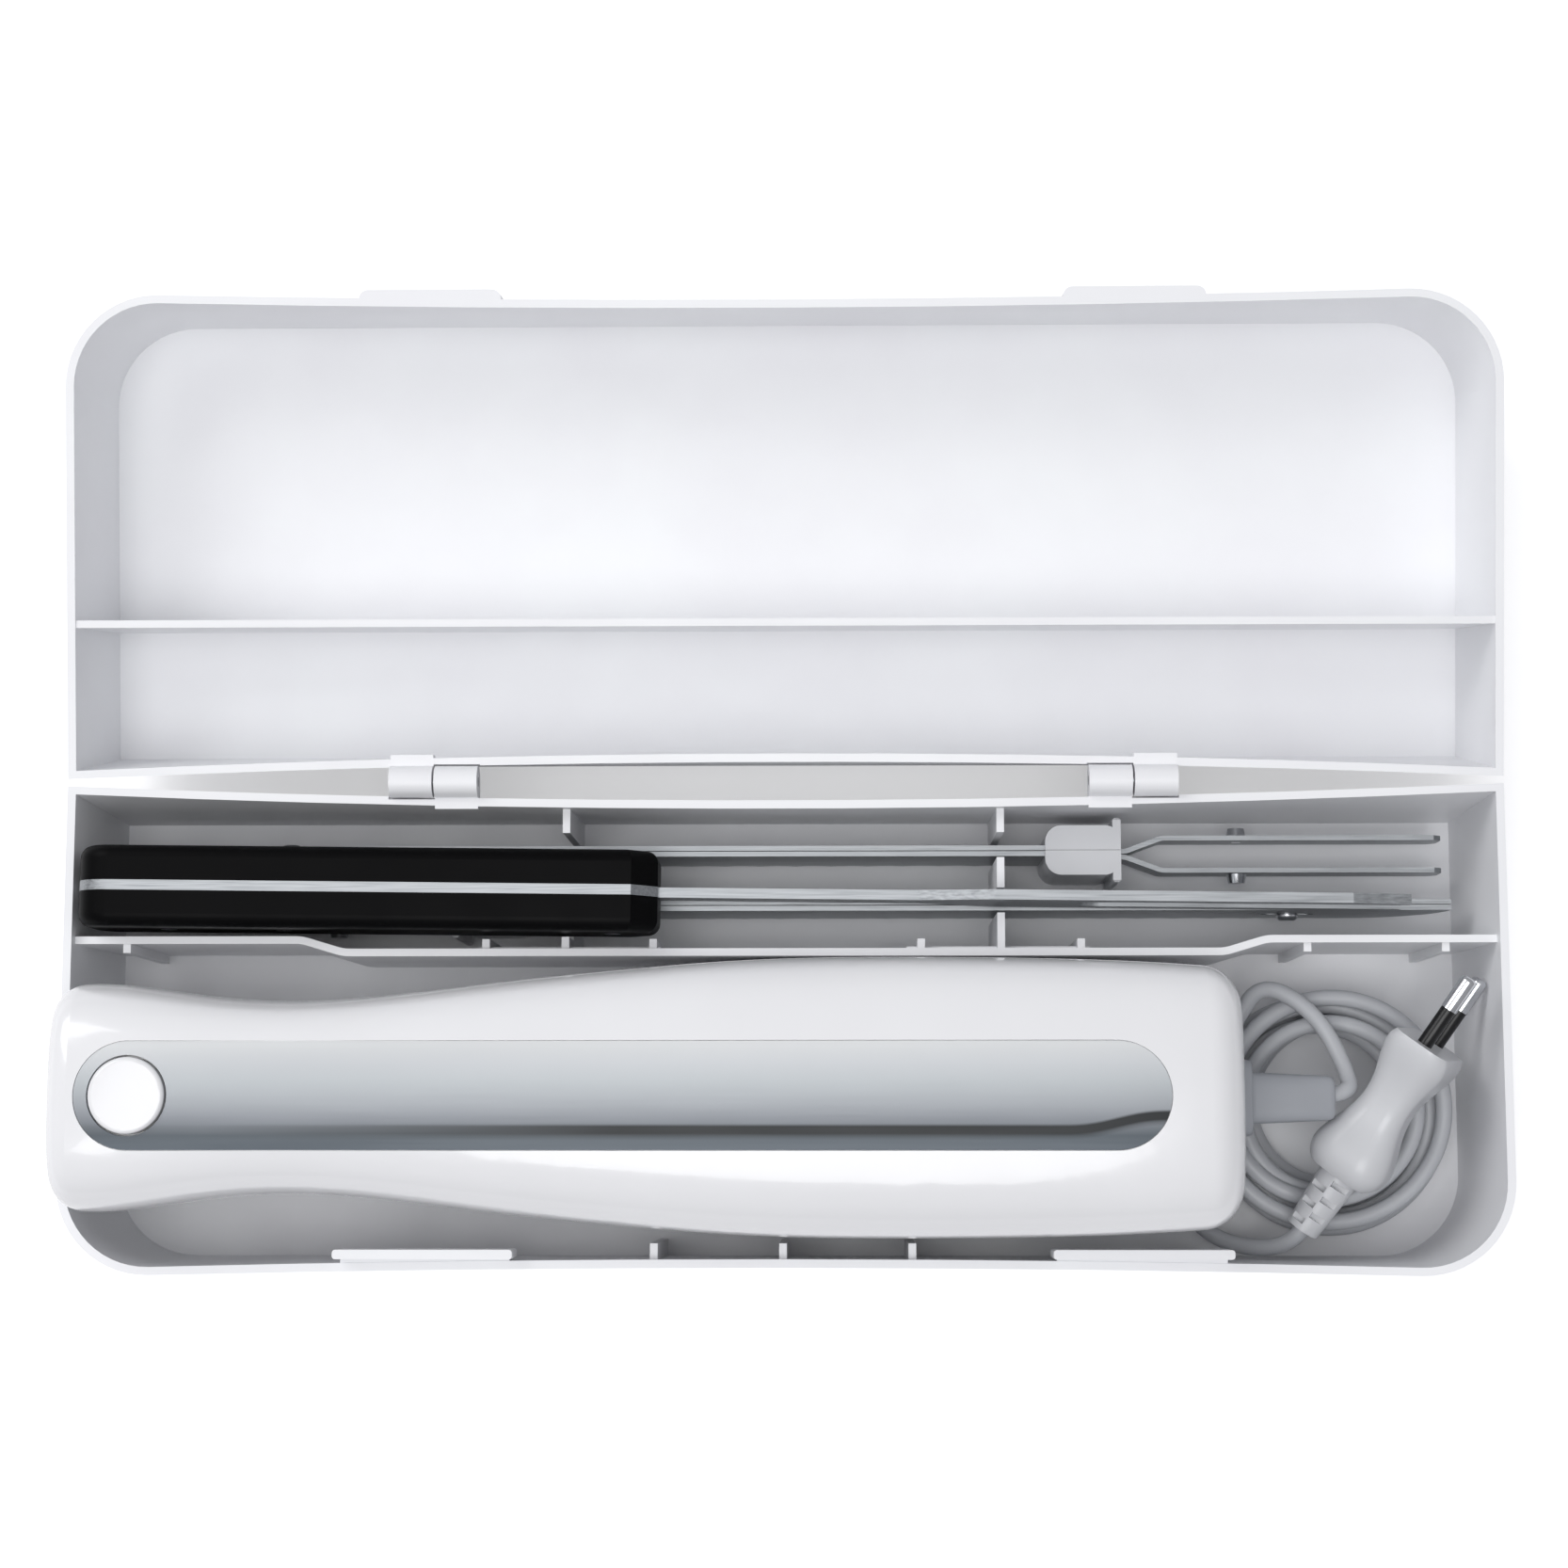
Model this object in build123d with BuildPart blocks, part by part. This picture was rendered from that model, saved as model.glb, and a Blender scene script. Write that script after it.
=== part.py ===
from build123d import *
import math
import os

# Electric carving knife in its moulded case, millimetres, +Z up.
# The origin is the centre of the case's underside, and +Y runs towards the lid's hinge.

# General fits
running_gap = 0.05
seat_gap = 0.3
overrun = 5.0

# Case
base_height = 47.0
lid_height = 37.0
case_wall = 2.0
cord_bay_length = 63.5
front_clearance = 9.4
divider_clearance = 2.0
blade_bay_width = 39.8
front_corner = 22.0
rear_corner = 9.0
front_waist = 2.4
rear_waist = 3.8
side_draft = 2.2
front_draft = 1.8
rear_draft = 2.5
floor_round = 3.0
lid_tilt = 8.1
hinge_offset = 0.8
rib_wall = 1.8

# Divider and cross ribs of the case
divider_jog = 3.0
divider_step_x = 110.0
divider_step_run = 10.0
divider_drop = 3.0
cross_rib_x = 52.0
cross_rib_drop = 4.0
slot_width = 6.0
lid_rib_drop = 0.5
lid_rib_from_hinge = 38.0
ledge_reach = 1.6
ledge_length = 44.0
ledge_x = 51.5
ledge_drop = 8.0
ledge_height = 12.0
stop_rib_reach = 4.0
stop_rib_spacing = 30.4
stop_rib_drop = 3.0
small_rib_shares = (-0.916, -0.414, -0.181, 0.192, 0.414, 0.727, 0.918)
cradle_from_nose = 28.0
cradle_width = 30.0
cradle_height = 38.4

# Hinges and latches of the case
knuckle_diameter = 7.6
knuckle_length = 10.3
knuckle_gap = 0.5
knuckle_relief = 0.4
hinge_joint_x = 83.4
hinge_pin_diameter = 2.4
hinge_arm_length = 6.5
tongue_length = 42.0
tongue_x = 84.0
tongue_wall = 2.2
tongue_rise = 5.0
tongue_root = 7.0
tongue_gap = 0.7
catch_length = 34.0
catch_depth = 9.0
catch_reach = 2.2
catch_inset = 3.0

# Machine housing
machine_length = 274.0
machine_width = 65.2
machine_height = 73.7
nose_gap = 1.5
housing_wall = 2.4
split_height = 53.0
parting_gap = 0.05
top_fullness_share = 0.8
low_fullness_share = 0.74
station_shares = (
    (0.0, 0.785, 0.985, 0.52),
    (0.09, 0.765, 1.0, 0.503),
    (0.18, 0.69, 1.0, 0.478),
    (0.285, 0.737, 1.0, 0.445),
    (0.387, 0.838, 1.0, 0.335),
    (0.485, 0.918, 1.0, 0.16),
    (0.584, 0.979, 1.0, 0.045),
    (0.704, 1.0, 1.0, 0.008),
    (0.832, 0.990, 1.0, 0.008),
    (0.92, 0.965, 0.995, 0.09),
    (1.0, 0.92, 0.965, 0.32),
)
nose_round = 6.0
tail_round = 9.0
end_wall_share = 2.25
inlay_length = 249.0
inlay_width = 24.6
inlay_rear_gap = 17.6
inlay_depth = 1.6
inlay_gap = 0.15

nose_plate_width = 19.0
nose_plate_height = 14.0
nose_plate_corner = 3.0
tang_slot_width = 2.4
tang_slot_height = 11.5
boss_diameter = 8.0
screw_diameter = 3.0
screw_head_diameter = 5.6
screw_head_height = 2.0
screw_slot = 1.0
screw_bite = 9.0
front_screw_from_nose = 38.0
front_screw_y = 14.0
front_head_z = 44.0
rear_screw_from_tail = 24.0
rear_screw_y = 20.0
rear_head_z = 16.0
vent_count = 5
vent_start_from_tail = 66.0
vent_pitch = 5.4
vent_length = 22.0
vent_width = 2.2

# Drive train
drive_height = 57.0
wheel_from_nose = 116.0
wheel_diameter = 25.0
wheel_width = 6.0
wheel_teeth = 25
tooth_depth = 1.2
worm_diameter = 8.4
worm_length = 22.0
mesh_gap = 0.15
axle_diameter = 3.5
crank_throw = 4.5
crank_diameter = 5.0
slide_spacing = 11.0
slide_wall = 1.6
slide_height = 10.0
yoke_border = 3.0
slide_front_from_nose = 11.0
frame_wall = 2.0
frame_inner = 18.0
frame_length = 40.0
frame_from_nose = 118.0
frame_drop = 6.6
frame_rise = 6.0
frame_web = 12.8
guide_from_nose = 52.0
guide_length = 12.0
guide_width = 26.0
rail_top = 45.5
socket_length = 14.0
socket_wall = 1.2

# Motor
shaft_diameter = 5.0
stator_size = 42.0
stator_corner = 4.0
stator_length = 44.0
stator_from_tail = 84.0
armature_diameter = 26.0
armature_air_gap = 0.4
armature_slots = 12
slot_depth = 5.0
slot_opening = 2.4
coil_window_width = 6.0
coil_window_height = 24.0
coil_overhang = 5.0
commutator_diameter = 17.0
commutator_length = 13.0
commutator_from_tail = 120.0
brush_size = 6.0
brush_length = 9.0
holder_wall = 1.4
holder_length = 13.0
bearing_diameter = 11.0
bearing_length = 5.0
cradle_spacing = 28.0
rear_bearing_from_tail = 38.0
fan_from_tail = 49.0
fan_diameter = 46.0
fan_hub = 13.0
fan_depth = 8.0
fan_blades = 9
fan_blade_wall = 1.4
fan_plate = 1.6
shaft_tail = 4.0

# Controls
button_diameter = 17.4
button_hole_gap = 0.5
button_from_nose = 19.6
button_rise = 1.0
button_travel = 3.0
button_flange = 1.6
button_stem_length = 4.6
button_stem_width = 1.5
bracket_wall = 1.4
bracket_gap = 0.4
bracket_length = 26.0
bracket_width = 28.0
spring_wire = 0.8
button_spring_diameter = 9.0
spring_length = 5.0
trigger_front_from_nose = 46.0
trigger_pivot_from_nose = 91.0
trigger_width = 14.0
trigger_low_front = 33.0
trigger_low_rear = 29.0
trigger_gap = 0.4
trigger_pivot_height = 38.0
trigger_top = 40.0
trigger_swing = 5.0
trigger_pin_diameter = 3.0
trigger_spring_from_nose = 69.0
trigger_spring_diameter = 7.0
switch_length = 34.0
switch_width = 21.0
switch_height = 5.6
suppressor_width = 20.0
suppressor_height = 9.0
suppressor_length = 14.0
switch_from_nose = 77.0
rail_wall = 2.0
trigger_heel = 4.0
bracket_post_x = 10.0
bracket_post_y = 11.5
bracket_post_diameter = 3.6

# Cord, gland and plug
cord_diameter = 4.0
gland_height = 38.0
flange_width = 18.0
flange_height = 14.0
flange_wall = 3.6
flange_gap = 1.2
relief_width = 12.4
relief_height = 9.0
relief_length = 20.0
relief_taper = 0.82
relief_grooves = 4
groove_wall = 1.6
groove_share = 0.72
cord_bore_length = 12.0
gland_stub_diameter = 8.0
gland_stub_length = 19.0
clamp_width = 22.0
clamp_length = 7.0
clamp_wall = 3.0
clamp_from_tail = 15.0
clamp_boss_y = 8.0
clamp_boss_diameter = 5.0
coil_from_tail = 27.4
coil_side = 2.4
coil_radius = 32.0
coil_layers = 4
coil_first_half_turns = 4
coil_half_turns = 3
coil_pitch = 5.3
coil_layer_pitch = 4.6
coil_start_angle = 150.0
coil_samples = 24
bend_share = 0.45
lead_straight = 6.0
lead_turn = 4.4
lead_bends = ((0.0, 7.0, 6.0), (-6.0, 21.0, 12.8), (-18.5, 29.0, 15.6))
tail_straight = 9.8
tail_bends = ((-36.9, -11.4, 2.7), (-34.4, -26.4, 8.7), (-25.4, -32.9, 13.7))
plug_entry_run = (-9.0, -28.5, 27.4)
plug_heading = 56.0
plug_rise = 13.0
plug_roll = 75.0
plug_relief_length = 16.0
plug_relief_diameter = 10.0
plug_body_length = 38.0
plug_width = 35.3
plug_depth = 13.7
plug_pin_diameter = 4.0
plug_pin_length = 19.0
plug_pin_spacing = 18.6
plug_sleeve_length = 10.0
plug_sleeve_diameter = 3.68
plug_core_diameter = 2.6
plug_pin_depth = 8.0
plug_slot_rows = 6
plug_slot_wall = 1.5
plug_slot_share = 0.46
plug_corner_share = 0.35
pin_round_share = 0.3
plug_shares = ((0.0, 0.48, 1.1), (0.16, 0.6, 1.42), (0.42, 0.48, 0.98), (0.74, 0.68, 1.0), (1.0, 1.0, 1.0))

# Blades
blade_length = 323.0
blade_height = 25.0
blade_wall = 1.2
blade_gap = 0.2
blade_lift = 1.5
tang_length = 87.0
tang_height = 10.5
tang_rise = 5.5
tang_chamfer = 2.0
tang_spread = 8.0
tang_splay_start = 2.0
tang_splay_run = 9.0
scallop_pitch = 9.0
scallop_depth = 1.1
scallop_count = 21
scallop_land = 0.6
tip_radius = 24.0
guard_start = 224.6
guard_length = 18.4
guard_corner = 4.0
guard_width = 15.7
guard_height = 28.0
guard_lip = 1.8
guard_lip_wall = 2.0
rivet_diameter = 5.4
rivet_dome = 1.6
rivet_inset = 38.0
rivet_shank = 3.4
rivet_rise_share = 0.5
rivet_round_share = 0.8
stud_diameter = 5.0
stud_height = 2.2
stud_from_end = 50.0
stud_shank = 2.4
stud_taper = 12.0
pair_b_from_divider = 12.4
pair_spacing = 13.3
pair_a_tip_gap = 8.5
pair_b_tip_gap = 7.5

# Fork
fork_start_gap = 1.9
fork_length = 316.0
fork_from_pair_b = 3.1
fork_yaw = -0.66
fork_wall = 2.4
handle_length = 138.0
handle_height = 24.0
handle_thickness = 19.4
handle_bottom = 31.2
handle_chamfer = 6.0
stem_height = 9.0
stem_length = 62.0
head_height = 21.0
tine_length = 78.0
tine_height = 5.0
fork_rivet_diameter = 4.0
fork_rivet_shares = (0.15, 0.35, 0.92)
head_flare = 18.0
head_middle = -1.9
tip_run = 14.0
scale_round = 3.0

# Places worked out from the sizes above
case_length = 2 * case_wall + nose_gap + machine_length + cord_bay_length
case_width = front_clearance + machine_width + divider_clearance + blade_bay_width
machine_y = front_clearance + (machine_width - case_width) / 2
divider_mid_y = machine_y + machine_width / 2 + divider_clearance
divider_end_y = divider_mid_y + divider_jog
pair_b_y = divider_mid_y + pair_b_from_divider
pair_a_y = pair_b_y + pair_spacing
fork_y = pair_b_y + fork_from_pair_b
rim_z = base_height
hinge_y = case_width / 2 + hinge_offset
inner_half_length = case_length / 2 - case_wall
nose_x = -inner_half_length + nose_gap
tail_x = nose_x + machine_length
front_screw_x = nose_x + front_screw_from_nose
wheel_x = nose_x + wheel_from_nose
slide_front_x = nose_x + slide_front_from_nose
frame_x = nose_x + frame_from_nose
guide_x = nose_x + guide_from_nose
button_x = nose_x + button_from_nose
trigger_front_x = nose_x + trigger_front_from_nose
trigger_pivot_x = nose_x + trigger_pivot_from_nose
trigger_spring_x = nose_x + trigger_spring_from_nose
switch_x = nose_x + switch_from_nose
cradle_x = nose_x + cradle_from_nose
rear_screw_x = tail_x - rear_screw_from_tail
vent_start_x = tail_x - vent_start_from_tail
stator_x = tail_x - stator_from_tail
commutator_x = tail_x - commutator_from_tail
rear_bearing_x = tail_x - rear_bearing_from_tail
fan_x = tail_x - fan_from_tail
coil_x = tail_x + coil_from_tail
coil_y = machine_y - coil_side
trigger_rise = (trigger_pivot_x - trigger_front_x) * math.sin(math.radians(trigger_swing))
plug_entry = (coil_x + plug_entry_run[0], coil_y + plug_entry_run[1], plug_entry_run[2])
pair_a_tip_x = -inner_half_length + pair_a_tip_gap
pair_b_tip_x = inner_half_length - pair_b_tip_gap
fork_start_x = -inner_half_length + fork_start_gap
motor_bottom = case_wall + seat_gap
bracket_top = drive_height + tang_height / 2 + socket_wall + bracket_gap + bracket_wall
small_rib_places = [share * case_length / 2 for share in small_rib_shares]
worm_z = drive_height - wheel_diameter / 2 - worm_diameter / 2 - mesh_gap

os.makedirs("parts", exist_ok=True)


def write(part, label):
    """Label a finished piece and write it to its own file."""
    part.label = label
    export_step(part, "parts/" + label + ".step")


def level(height):
    """The horizontal plane at a height."""
    return Plane.XY.offset(height)


def across(x, y=0.0, z=0.0):
    """A plane square to X, with its own x along +Y and its own y along +Z."""
    return Plane(origin=(x, y, z), x_dir=(0, 1, 0), z_dir=(1, 0, 0))


def lengthwise(y):
    """A plane square to Y, with its own x along +X and its own y along +Z."""
    return Plane(origin=(0, y, 0), x_dir=(1, 0, 0), z_dir=(0, -1, 0))


# Case mould: waisted at the rim, straight at the floor
lid_plane = Plane(
    origin=(0, hinge_y, rim_z),
    x_dir=(1, 0, 0),
    z_dir=(0, -math.sin(math.radians(lid_tilt)), math.cos(math.radians(lid_tilt))),
)


def outline(inset, drafted, side):
    """Outline of the case at the rim or, drafted, at the floor; side is where the hinge lies."""
    half = case_length / 2 - inset - (side_draft if drafted else 0)
    rear = side * (case_width / 2 - inset - (rear_draft if drafted else 0))
    front = -side * (case_width / 2 - inset - (front_draft if drafted else 0))
    with BuildSketch() as drawing:
        with BuildLine():
            if drafted:
                Line((half, rear), (-half, rear))
                Line((-half, front), (half, front))
            else:
                ThreePointArc((half, rear), (0, rear - side * rear_waist), (-half, rear))
                ThreePointArc((-half, front), (0, front + side * front_waist), (half, front))
            Line((-half, rear), (-half, front))
            Line((half, front), (half, rear))
        make_face()
        corners = drawing.vertices().sort_by(Axis.Y)
        fillet(corners[:2] if side > 0 else corners[-2:], front_corner - inset)
        fillet(corners[-2:] if side > 0 else corners[:2], rear_corner - inset)
    return drawing.sketch_local


def mould(rim, depth, inset, side):
    """A solid block that fills one half of the case, or its hollow where it is inset."""
    with BuildPart() as form:
        with BuildSketch(rim.offset(inset - depth)):
            add(outline(inset, True, side))
        with BuildSketch(rim):
            add(outline(inset, False, side))
        loft()
        if inset == 0:
            bottom = form.faces().sort_by(Axis(rim.origin, rim.z_dir))[0]
            fillet(bottom.edges(), floor_round)
    return form.part


base_rim = Plane(origin=(0, 0, rim_z))
lid_rim = Plane(
    origin=lid_plane.from_local_coords((0, hinge_offset + case_width / 2, 0)),
    x_dir=lid_plane.x_dir,
    z_dir=lid_plane.z_dir,
)
base_form = mould(base_rim, base_height, 0, 1)
base_hollow = mould(base_rim, base_height, case_wall, 1)
lid_form = mould(lid_rim, lid_height, 0, -1)
lid_hollow = mould(lid_rim, lid_height, case_wall, -1)

# Hinges: one knuckle on each half, side by side on the axis
hinge_pivot = across(0, hinge_y, rim_z)


def knuckle(sign, inner):
    """Start and end along X of the knuckle on the inner or outer side of a hinge."""
    near = hinge_joint_x - knuckle_length - knuckle_gap / 2
    far = hinge_joint_x + knuckle_gap / 2
    start = near if inner else far
    return (sign * start, sign * (start + knuckle_length))


def add_knuckle(plane_y, sign, inner, drop_side, bore):
    """A barrel on the hinge axis with an arm that runs into the wall of its half."""
    low, high = sorted(knuckle(sign, inner))
    with BuildPart() as barrel:
        with BuildSketch(hinge_pivot.offset(low)):
            Circle(knuckle_diameter / 2)
        extrude(amount=high - low)
        with BuildSketch(Plane(origin=(low, hinge_y, rim_z), x_dir=plane_y, z_dir=(1, 0, 0))):
            with Locations((-hinge_arm_length / 2, 0)):
                Rectangle(hinge_arm_length, knuckle_diameter)
        extrude(amount=high - low)
        with BuildSketch(Plane(origin=(low, hinge_y, rim_z), x_dir=plane_y, z_dir=(1, 0, 0))):
            with Locations((-hinge_arm_length / 2, drop_side * knuckle_diameter / 2)):
                Rectangle(hinge_arm_length * 2 + overrun, knuckle_diameter)
        extrude(amount=high - low, mode=Mode.SUBTRACT)
        with BuildSketch(hinge_pivot.offset(low)):
            Circle(knuckle_diameter / 2)
        extrude(amount=high - low)
        with BuildSketch(hinge_pivot.offset(low)):
            Circle(bore / 2)
        extrude(amount=high - low, mode=Mode.SUBTRACT)
    return barrel.part


def knuckle_room(sign, inner):
    """The space that the other half keeps free round a knuckle."""
    low, high = sorted(knuckle(sign, inner))
    with BuildPart() as room:
        with BuildSketch(hinge_pivot.offset(low - knuckle_relief)):
            Circle(knuckle_diameter / 2 + knuckle_relief)
        extrude(amount=high - low + 2 * knuckle_relief)
    return room.part


# Ribs and walls of the case base, which its hollow leaves standing
with BuildPart() as base_ribs:
    with BuildSketch(level(case_wall / 2)):
        with BuildLine():
            step = divider_step_run / 2
            FilletPolyline(
                (-case_length / 2, divider_end_y),
                (-divider_step_x - step, divider_end_y),
                (-divider_step_x + step, divider_mid_y),
                (divider_step_x - step, divider_mid_y),
                (divider_step_x + step, divider_end_y),
                (case_length / 2, divider_end_y),
                radius=divider_step_run,
            )
        trace(line_width=rib_wall)
    extrude(amount=rim_z - divider_drop - case_wall / 2)
    for rib_x in (-cross_rib_x, cross_rib_x):
        with BuildSketch(level(case_wall / 2)):
            with Locations((rib_x, (divider_mid_y + case_width / 2) / 2)):
                Rectangle(rib_wall, case_width / 2 - divider_mid_y)
        extrude(amount=rim_z - cross_rib_drop - case_wall / 2)
        with BuildSketch(level(case_wall)):
            with Locations((rib_x, pair_a_y), (rib_x, pair_b_y)):
                Rectangle(rib_wall + overrun, slot_width)
        extrude(amount=base_height, mode=Mode.SUBTRACT)
    fork_at_rib = fork_y + math.tan(math.radians(fork_yaw)) * (-cross_rib_x - fork_start_x)
    with BuildSketch(level(handle_bottom - seat_gap)):
        with Locations((-cross_rib_x, fork_at_rib)):
            Rectangle(rib_wall + overrun, handle_thickness + slot_width / 4)
    extrude(amount=base_height, mode=Mode.SUBTRACT)
    with BuildSketch(level(case_wall / 2)):
        for ledge_rib_x in small_rib_places:
            with Locations((ledge_rib_x, divider_mid_y + ledge_reach)):
                Rectangle(rib_wall, 2 * ledge_reach)
    extrude(amount=rim_z - cross_rib_drop - case_wall / 2)
    for ledge_centre in (-ledge_x, ledge_x):
        with BuildSketch(level(rim_z - ledge_drop - ledge_height)):
            with Locations((ledge_centre, divider_mid_y + ledge_reach / 2)):
                Rectangle(ledge_length, ledge_reach)
        extrude(amount=ledge_height)
    for stop_x in (-stop_rib_spacing, 0, stop_rib_spacing):
        with BuildSketch(level(case_wall / 2)):
            with Locations((stop_x, -case_width / 2 + stop_rib_reach)):
                Rectangle(rib_wall, 2 * stop_rib_reach)
        extrude(amount=rim_z - stop_rib_drop - case_wall / 2)
    with BuildSketch(level(case_wall / 2)):
        with Locations((cradle_x, machine_y)):
            Rectangle(rib_wall, cradle_width)
    extrude(amount=cradle_height - case_wall / 2)

with BuildPart() as base_room:
    add(base_hollow)
    add(base_ribs.part, mode=Mode.SUBTRACT)

with BuildPart() as case_base:
    add(base_form)
    add(base_room.part, mode=Mode.SUBTRACT)
    for sign in (-1, 1):
        add(knuckle_room(sign, False), mode=Mode.SUBTRACT)
        add(add_knuckle((0, 1, 0), sign, True, 1, hinge_pin_diameter))
        front_wall_y = -case_width / 2 + front_waist * (1 - (2 * tongue_x / case_length) ** 2)
        tongue_y = front_wall_y + case_wall + tongue_gap + tongue_wall / 2
        with BuildSketch(level(rim_z - tongue_root)):
            with Locations((sign * tongue_x, tongue_y)):
                RectangleRounded(tongue_length, tongue_wall, tongue_wall / 3)
        extrude(amount=tongue_root + tongue_rise)
        with BuildSketch(level(rim_z - tongue_root)):
            with Locations((sign * tongue_x, tongue_y - tongue_wall / 2)):
                Rectangle(tongue_length - tongue_wall, 2 * tongue_gap + case_wall)
        extrude(amount=tongue_root - seat_gap)
write(case_base.part, "case_base")

# Case lid, lying open past the hinge with its free edge raised
free_edge = hinge_offset + case_width
with BuildPart() as lid_fittings:
    with BuildSketch(lid_plane.offset(case_wall / 2 - lid_height)):
        with Locations((0, lid_rib_from_hinge)):
            Rectangle(case_length, rib_wall)
    extrude(amount=lid_height - case_wall / 2 - lid_rib_drop)

with BuildPart() as lid_room:
    add(lid_hollow)
    add(lid_fittings.part, mode=Mode.SUBTRACT)

with BuildPart() as case_lid:
    add(lid_form)
    catch_wall_y = free_edge - front_waist * (1 - (2 * tongue_x / case_length) ** 2)
    for sign in (-1, 1):
        with BuildSketch(lid_plane.offset(-catch_depth)):
            with Locations((sign * tongue_x, catch_wall_y - catch_inset)):
                RectangleRounded(catch_length, 2 * (catch_reach + catch_inset), catch_reach)
        extrude(amount=catch_depth)
    add(lid_room.part, mode=Mode.SUBTRACT)
    for sign in (-1, 1):
        add(knuckle_room(sign, True), mode=Mode.SUBTRACT)
        add(add_knuckle(-lid_plane.y_dir, sign, False, -1, hinge_pin_diameter + 2 * running_gap))
write(case_lid.part, "case_lid")

with BuildPart() as hinge_pins:
    for sign in (-1, 1):
        low = min(knuckle(sign, True) + knuckle(sign, False))
        with BuildSketch(hinge_pivot.offset(low)):
            Circle(hinge_pin_diameter / 2)
        extrude(amount=2 * knuckle_length + knuckle_gap)
write(hinge_pins.part, "hinge_pins")

# Machine housing: two halves, each through sections with their own width and height
machine_stations = [
    (station_share * machine_length, width_share * machine_width / 2,
     motor_bottom + top_share * machine_height - split_height,
     split_height - parting_gap - motor_bottom - bottom_share * machine_height)
    for station_share, width_share, top_share, bottom_share in station_shares
]


def half_section(half, height, fullness, skirt):
    """A cross section of one half of the housing, from the parting line outwards."""
    with BuildSketch() as drawing:
        with BuildLine():
            if skirt > 0:
                Polyline((-half, 0), (-half, -skirt), (half, -skirt), (half, 0))
            else:
                Line((-half, 0), (half, 0))
            Bezier((half, 0), (half, fullness * height), (fullness * half, height), (0, height))
            Bezier((0, height), (-fullness * half, height), (-half, fullness * height), (-half, 0))
        make_face()
    return drawing.sketch_local


def machine_half(upper, inset):
    """One half of the housing, solid, or its hollow where it is inset by the wall."""
    end_inset = inset * end_wall_share
    stretch = (machine_length - 2 * end_inset) / machine_length
    way = 1 if upper else -1
    parting = split_height if upper else split_height - parting_gap
    fullness = top_fullness_share if upper else low_fullness_share
    with BuildPart() as form:
        for station, half, rise, drop in machine_stations:
            place = Plane(
                origin=(nose_x + end_inset + station * stretch, machine_y, parting),
                x_dir=(0, way, 0),
                z_dir=(1, 0, 0),
            )
            with BuildSketch(place):
                add(half_section(half - inset, (rise if upper else drop) - inset, fullness, inset))
        loft(ruled=inset > 0)
        if inset == 0:
            for end, end_round in ((0, nose_round), (-1, tail_round)):
                rim = form.faces().sort_by(Axis.X)[end].edges()
                fillet(rim.filter_by(GeomType.LINE, reverse=True), end_round)
    return form.part


top_z = motor_bottom + machine_height
inlay_x = tail_x - inlay_rear_gap - inlay_length / 2
rail_front_x = guide_x - guide_length / 2
rail_rear_x = switch_x + switch_length / 2
machine_screws = [
    (screw_x, machine_y + side * screw_y, head_z)
    for screw_x, screw_y, head_z in (
        (front_screw_x, front_screw_y, front_head_z),
        (rear_screw_x, rear_screw_y, rear_head_z),
    )
    for side in (-1, 1)
]


def housing_frames():
    """Ribs, rails and bosses that the lower housing's hollow leaves standing."""
    with BuildPart() as frames:
        for rib_x in (stator_x - cradle_spacing / 2, stator_x + cradle_spacing / 2):
            with BuildSketch(across(rib_x - rail_wall / 2, machine_y, 0)):
                with Locations((0, worm_z / 2)):
                    Rectangle(machine_width, worm_z)
            extrude(amount=rail_wall)
        with BuildSketch(across(stator_x - stator_length / 2, machine_y, worm_z)):
            Rectangle(stator_size, stator_size)
        extrude(amount=stator_length, mode=Mode.SUBTRACT)
        with BuildSketch(across(rear_bearing_x - bearing_length / 2, machine_y, 0)):
            with Locations((0, split_height / 2)):
                Rectangle(machine_width, split_height)
        extrude(amount=bearing_length)
        with BuildSketch(across(rear_bearing_x - bearing_length / 2, machine_y, worm_z)):
            Circle(bearing_diameter / 2)
        extrude(amount=bearing_length, mode=Mode.SUBTRACT)
        for frame_end in (-1, 1):
            rib_x = frame_x + frame_end * (frame_length / 2 - rail_wall)
            with BuildSketch(across(rib_x - rail_wall / 2, machine_y, 0)):
                with Locations((0, (worm_z - frame_drop) / 2)):
                    Rectangle(machine_width, worm_z - frame_drop)
            extrude(amount=rail_wall)
        for side in (-1, 1):
            with BuildSketch(Plane.XY):
                rail_y = machine_y + side * (switch_width - rail_wall) / 2
                with Locations(((rail_front_x + rail_rear_x) / 2, rail_y)):
                    Rectangle(rail_rear_x - rail_front_x, rail_wall)
            extrude(amount=rail_top)
            with BuildSketch(Plane.XY):
                with Locations((tail_x - clamp_from_tail, machine_y + side * clamp_boss_y)):
                    Circle(clamp_boss_diameter / 2)
            extrude(amount=gland_height + gland_stub_diameter / 2)
        with BuildSketch(Plane.XZ.offset(-machine_y)):
            with Locations((trigger_pivot_x, trigger_pivot_height)):
                Circle(trigger_pin_diameter / 2)
        extrude(amount=switch_width, both=True, mode=Mode.SUBTRACT)
        for screw_x, screw_y, head_z in machine_screws:
            with BuildSketch(Plane.XY):
                with Locations((screw_x, screw_y)):
                    Circle(boss_diameter / 2)
            extrude(amount=split_height)
    return frames.part


def nose_plate_outline(gap):
    """Rounded window of the nose plate."""
    with BuildSketch() as drawing:
        RectangleRounded(nose_plate_width + 2 * gap, nose_plate_height + 2 * gap, nose_plate_corner)
    return drawing.sketch_local


with BuildPart() as lower_room:
    add(machine_half(False, housing_wall))
    add(housing_frames(), mode=Mode.SUBTRACT)

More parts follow.
